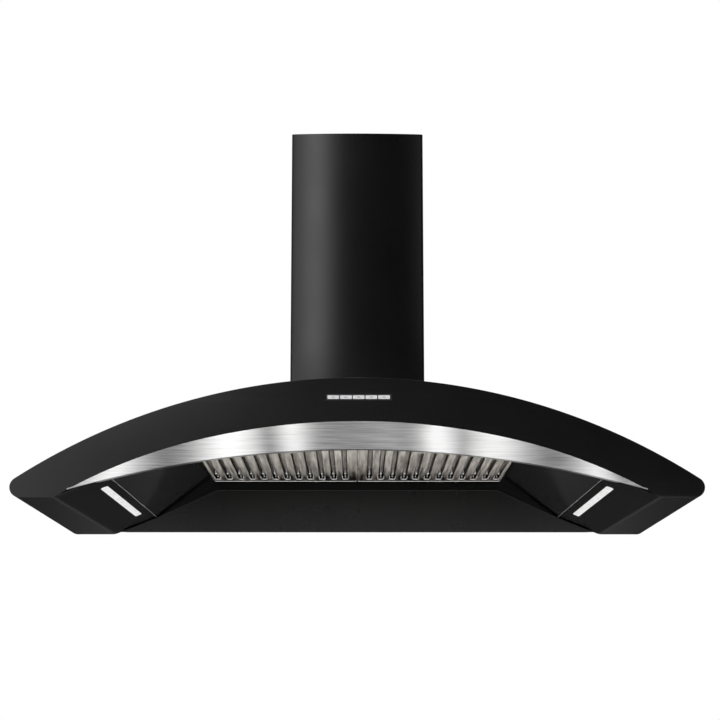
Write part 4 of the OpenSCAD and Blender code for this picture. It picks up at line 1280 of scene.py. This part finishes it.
    def stud(self, maker: Maker, x: float, y: float, r: float, z: float) -> bpy.types.Mesh:
        """Builds one stud that hangs from an upper channel's web, its round end down.

        Args:
            maker: Makes the mesh.
            x: Its middle.
            y: Its distance from the wall.
            r: Its radius.
            z: Height of its lower end.

        Returns:
            The stud's mesh.
        """
        web = self.low + self.height - 2.8 * MM
        profile = [(r, web)]
        profile += [(max(r * c, 0.05 * MM), z + r - r * s) for c, s in arc((0.0, 0.0), 1.0, 0, 90, 5)]
        return maker.loft("stud", [[(x + w * c, -y + w * s, h) for c, s in arc((0.0, 0.0), 1.0, 0, 330, 11)]
                                   for w, h in profile])

    def clip(self, maker: Maker, x: float) -> bpy.types.Mesh:
        """Builds one spring clip that snaps on the hinge rod.

        Args:
            maker: Makes the mesh.
            x: The clip's middle.

        Returns:
            The clip's mesh.
        """
        inner = arc((0.0, 0.0), self.rod_r + 0.06 * MM, -50, 230, 20)
        outer = arc((0.0, 0.0), self.rod_r + 1.7 * MM, 230, 42, 14)
        ring = inner + outer
        rings = [[(x + s * 6 * MM, -self.rod_y - y, self.rod_z + z) for y, z in ring] for s in (-1, 1)]
        arm = maker.brick("arm", (x - 6 * MM, -self.rear - 0.2 * MM, self.rod_z + 1.6 * MM),
                          (x + 6 * MM, -self.rod_y - 2.8 * MM, self.rod_z + 4.1 * MM))
        return maker.join("clip", [maker.loft("ring", rings), arm])

    def build_lower(self, maker: Maker) -> None:
        """Builds the lower channels, open upwards, with bent corners."""
        t, r = self.steel, 1.2 * MM
        base = self.low + t
        y0, y1 = self.rear + t + 0.3 * MM, self.front - self.front_strip + 10 * MM
        drain0 = self.rear + self.rear_strip
        drain1 = drain0 + self.drain

        def section(i: int, notch: float) -> list[Point]:
            """One channel's section, drawn in on both sides by a notch."""
            a = self.gap_x(i) + self.gap / 2 + notch
            b = self.gap_x(i + 1) - self.gap / 2 - notch
            high = base + self.channel
            outside = ([(a, high)] + arc((a + r, base + r), r, 180, 270, 4)
                       + arc((b - r, base + r), r, 270, 360, 4) + [(b, high)])
            inside = ([(b - t, high)] + arc((b - r, base + r), r - t, 360, 270, 4)
                      + arc((a + r, base + r), r - t, 270, 180, 4) + [(a + t, high)])
            return outside + inside

        parts = []
        for i in range(self.gaps - 1):
            end = self.front - 1.5 * MM if i < self.long_gaps - 1 else y1
            stations = ((y0, 0.0), (drain0, 0.0), (drain0 + MM, self.notch), (drain1 - MM, self.notch),
                        (drain1, 0.0), (end, 0.0))
            rings = [[(x, -y, z) for x, z in section(i, notch)] for y, notch in stations]
            parts.append(maker.loft("c", rings))
        mesh = self.place(maker.join("lower", parts))
        maker.piece(f"lower_channels_{self.side.word}", mesh, Slot.FILTER, self.body,
                    [f"lower_baffles_{self.side.word}"])

    def build_upper(self, maker: Maker) -> None:
        """Builds the upper channels, open downwards, on their two tie bars."""
        t = self.steel
        y0 = self.rear + t + 0.3 * MM
        y1 = self.front - self.front_strip + 6 * MM
        half = self.gap / 2 + t + self.lap
        web = self.low + self.height - 2 * MM
        foot = self.low + t + self.channel - 3 * MM
        inner_x, outer_x = self.x0 + t + 0.3 * MM, self.x1 - t - 0.3 * MM
        parts = []
        for i in range(self.gaps):
            a = max(self.gap_x(i) - half, inner_x)
            b = min(self.gap_x(i) + half, outer_x)
            r = 1.2 * MM
            outside = ([(a, foot)] + arc((a + r, web - r), r, 180, 90, 4)
                       + arc((b - r, web - r), r, 90, 0, 4) + [(b, foot)])
            inside = ([(b - t, foot)] + arc((b - r, web - r), r - t, 0, 90, 4)
                      + arc((a + r, web - r), r - t, 90, 180, 4) + [(a + t, foot)])
            end = self.front - 1.5 * MM if i < self.long_gaps else y1
            parts.append(maker.loft("c", [[(x, -y, z) for x, z in outside + inside] for y in (y0, end)]))
        for y in (y0 + 2 * MM, y1 - 14 * MM):
            parts.append(maker.brick("tie", (inner_x, -y - 12 * MM, web - 0.1 * MM), (outer_x, -y, web + t)))
        mesh = self.place(maker.join("upper", parts))
        maker.piece(f"upper_channels_{self.side.word}", mesh, Slot.FILTER, self.body,
                    [f"upper_baffles_{self.side.word}"])


@dataclass
class Keys:
    """The five push keys in their guide."""

    count: int = 5
    width: float = 17 * MM
    height: float = 5.3 * MM
    gap: float = 1.4 * MM
    middle_z: float = 142 * MM
    shift: float = 2 * MM
    face: float = 555.3 * MM
    rear: float = 547 * MM

    def build(self, maker: Maker) -> None:
        """Builds the keys with a soft crown and a plain dash on each."""
        row = self.count * self.width + (self.count - 1) * self.gap
        for i in range(self.count):
            x = self.shift - row / 2 + self.width / 2 + i * (self.width + self.gap)
            a, b = x - self.width / 2, x + self.width / 2
            low, high = self.middle_z - self.height / 2, self.middle_z + self.height / 2
            soft = 0.8 * MM
            ring = (arc((a + soft, low + soft), soft, 180, 270, 4)
                    + arc((b - soft, low + soft), soft, 270, 360, 4)
                    + arc((b - soft, high - soft), soft, 0, 90, 4)
                    + arc((a + soft, high - soft), soft, 90, 180, 4))
            cap = maker.stand(maker.plate("cap", [ring], self.face - self.rear, 0.35 * MM), self.rear)
            maker.piece(f"key_cap_{i + 1}", cap, Slot.KEY, f"key_{i + 1}", [f"key_{i + 1}"])
            dash = maker.brick("dash", (x - 2.4 * MM, -self.face - 0.05 * MM, self.middle_z - 0.4 * MM),
                               (x + 2.4 * MM, -self.face + 0.3 * MM, self.middle_z + 0.4 * MM))
            maker.piece(f"key_mark_{i + 1}", dash, Slot.PLASTIC, f"key_{i + 1}")


@dataclass
class DuctCover:
    """The chimney: the fixed cover and the section that slides in it."""

    outline: CanopyOutline = CanopyOutline()
    width: float = 218 * MM
    depth: float = 255 * MM
    top: float = 640 * MM
    bow_r: float = 1200 * MM
    corner_r: float = 4 * MM
    returns: float = 15 * MM
    sheet: float = 1.2 * MM
    wall_gap: float = 0.5 * MM
    slide_gap: float = 0.6 * MM
    slide_len: float = 387 * MM
    slide_drop: float = 8 * MM

    def half_plan(self, inset: float) -> list[Point]:
        """Right half of the plan, from the wall flange's end to the middle of the front."""
        corner_x = self.width / 2 - self.corner_r
        inner = self.bow_r - self.corner_r
        corner_y = -self.depth + self.bow_r - math.sqrt(inner ** 2 - corner_x ** 2)
        lean = math.degrees(math.asin(corner_x / inner))
        half = self.width / 2 - inset
        corner = arc((corner_x, corner_y), self.corner_r - inset, 0, lean - 90, 10)
        front = arc((0.0, self.bow_r - self.depth), self.bow_r - inset, lean - 90, -90, 24)
        open_x = self.width / 2 - self.returns
        return [(open_x, -self.wall_gap - inset), (half, -self.wall_gap - inset)] + corner + front[1:]

    def ring(self, inset: float) -> list[Point]:
        """The bent sheet's closed plan, its thickness inwards from an inset."""
        right = self.half_plan(inset)
        outer = right + [(-x, y) for x, y in right[-2::-1]]
        right = self.half_plan(inset + self.sheet)
        right[0] = (outer[0][0], right[0][1])
        inner = right + [(-x, y) for x, y in right[-2::-1]]
        return outer + inner[::-1]

    def build(self, maker: Maker) -> None:
        """Builds the cover, scribed to the canopy's arch, and the sliding section."""
        ring = self.ring(0.0)
        foot = [(x, y, self.outline.arch_z(x) + 0.3 * MM) for x, y in ring]
        heights = (0.2, 0.45, self.top)
        rings = [foot] + [[(x, y, z) for x, y in ring] for z in heights]
        maker.piece("chimney_skin", maker.loft("chimney", rings), Slot.PAINT, "hood",
                    ["duct_cover"], 0.25 * MM, 20.0)
        inset = self.sheet + self.slide_gap
        ring = self.ring(inset)
        high = self.top - self.slide_drop
        low = high - self.slide_len
        rings = [[(x, y, z) for x, y in ring] for z in (low, (low + high) / 2, high)]
        maker.piece("slider_skin", maker.loft("slider", rings), Slot.PAINT, "duct_slider",
                    ["duct_slider"], 0.25 * MM, 20.0)


@dataclass(frozen=True)
class SoftLight:
    """Radiance of the studio as a smooth function of direction, seen by reflections only."""

    even: float = 0.014
    sweep: float = 0.235
    sweep_deg: float = 8.0
    left_glow: float = 0.50
    strip: float = 3.1
    strip_at: float = -8.0
    strip_deg: float = 2.8
    edge: float = 0.55
    overhead: float = 2.6
    low_front: float = 1.4
    back: float = 0.036
    back_glow: float = 0.065
    sides: float = 0.25

    def build(self, tree: Nodes) -> bpy.types.NodeSocket:
        """Adds the nodes.

        Args:
            tree: The world's nodes, whose place is the ray's direction.

        Returns:
            The radiance.
        """
        x, y, z = tree.axes()
        turn = tree.math("DEGREES", tree.math("ARCTAN2", x, tree.math("MULTIPLY", y, -1.0)))
        rise = tree.math("DEGREES", tree.math("ARCSINE", z))
        away = tree.math("ABSOLUTE", turn)
        front = tree.span(away, 1.0, 0.0, 40.0, 80.0, True)
        behind = tree.span(away, 0.0, 1.0, 110.0, 140.0, True)
        over = tree.span(rise, 0.0, 1.0, 32.0, 46.0, True)
        above = tree.span(rise, 0.0, 1.0, 1.0, 7.0, True)
        held = tree.math("MAXIMUM", turn, -15.0)
        falling = tree.math("EXPONENT", tree.math("DIVIDE", held, -self.sweep_deg))
        dimming = tree.span(rise, 1.0, 0.62, 9.8, 12.0, True)
        left = tree.math("MULTIPLY", tree.bell(turn, -14.5, 5.0), self.left_glow)
        level = tree.math("ADD", tree.total(tree.math("MULTIPLY", falling, self.sweep), left), self.even)
        shown = tree.math("MULTIPLY", tree.math("MULTIPLY", front, above), dimming)
        sweep = tree.math("MULTIPLY", level, shown)
        strip = tree.math("MULTIPLY", tree.bell(turn, self.strip_at, self.strip_deg),
                          tree.span(rise, 0.0, self.strip, 9.7, 11.0, True))
        edge = tree.math("MULTIPLY", tree.bell(turn, 13.5, 2.2),
                         tree.span(rise, 0.0, self.edge, 10.5, 12.0, True))
        low = tree.math("MULTIPLY", tree.span(rise, self.low_front, 0.0, 0.0, 7.0, True), front)
        side = tree.math("MULTIPLY", tree.bell(away, 90.0, 35.0), self.sides)
        glow = tree.math("MULTIPLY", tree.bell(away, 174.0, 2.6), self.back_glow)
        rear = tree.math("MULTIPLY", tree.math("ADD", glow, self.back), behind)
        rear_high = tree.math("MULTIPLY", tree.span(rise, 0.0, 0.6, 6.0, 30.0, True), behind)
        top = tree.math("MULTIPLY", tree.math("MULTIPLY", over, self.overhead),
                        tree.span(turn, 0.80, 1.45, -10.0, 10.0, True))
        return tree.total(sweep, strip, edge, low, side, rear, rear_high, top)


@dataclass
class Studio:
    """Pale floor, soft light and the camera at the photograph's angle."""

    light: SoftLight = SoftLight()
    camera_y: float = -3.1281
    camera_z: float = -0.3038
    tilt_deg: float = 11.01
    turn_deg: float = -0.0875
    lens: float = 90.0
    floor_z: float = -1.75

    def build(self) -> None:
        """Builds the whole studio."""
        self.build_camera()
        self.build_floor()
        self.build_world()
        scene = bpy.context.scene
        scene.view_settings.view_transform = "Standard"
        scene.view_settings.look = "None"

    def build_camera(self) -> None:
        """Adds the camera."""
        data = bpy.data.cameras.new("photo_camera")
        data.lens = self.lens
        data.sensor_width = 36.0
        data.clip_end = 100.0
        camera = bpy.data.objects.new("photo_camera", data)
        camera.location = (0.0, self.camera_y, self.camera_z)
        camera.rotation_euler = (math.radians(90 + self.tilt_deg), 0.0, math.radians(self.turn_deg))
        bpy.context.scene.collection.objects.link(camera)
        bpy.context.scene.camera = camera

    def build_floor(self) -> None:
        """Adds the pale floor, which no surface of the hood reflects."""
        half = 7.0
        mesh = bpy.data.meshes.new("floor")
        outline = [(-half, -half), (half, -half), (half, half), (-half, half)]
        mesh.from_pydata([(x, y, self.floor_z) for x, y in outline], [], [(0, 1, 2, 3)])
        floor = bpy.data.objects.new("floor", mesh)
        bpy.context.scene.collection.objects.link(floor)
        pale = Moulding("pale_floor", (0.86, 0.86, 0.86), (0.9, 0.9, 0.9), (0.8, 0.9), 40.0)
        mesh.materials.append(pale.build())
        floor.visible_glossy = False

    def build_world(self) -> None:
        """Makes the background white to look at and a soft studio to reflect."""
        world = bpy.data.worlds.new("studio")
        bpy.context.scene.world = world
        world.use_nodes = True
        tree = Nodes(world.node_tree, "Generated")
        path = tree.nodes.new("ShaderNodeLightPath")
        seen = tree.nodes.new("ShaderNodeBackground")
        seen.inputs["Color"].default_value = (1.0, 1.0, 1.0, 1.0)
        room = tree.nodes.new("ShaderNodeBackground")
        tree.links.new(self.light.build(tree), room.inputs["Strength"])
        mix = tree.nodes.new("ShaderNodeMixShader")
        output = tree.nodes.new("ShaderNodeOutputWorld")
        tree.links.new(path.outputs["Is Camera Ray"], mix.inputs[0])
        tree.links.new(room.outputs[0], mix.inputs[1])
        tree.links.new(seen.outputs[0], mix.inputs[2])
        tree.links.new(mix.outputs[0], output.inputs[0])


def main() -> None:
    """Loads the frame and builds every sub-assembly in order."""
    logging.basicConfig(level=logging.INFO, format="%(message)s")
    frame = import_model()
    finishes = Finishes()
    finishes.dress_frame(frame)
    maker = Maker(finishes)
    Studio().build()
    Canopy().build(maker)
    Underside().build(maker)
    for side in Side:
        BaffleFilter(side).build(maker)
    Keys().build(maker)
    DuctCover().build(maker)


if __name__ == "__main__":
    main()
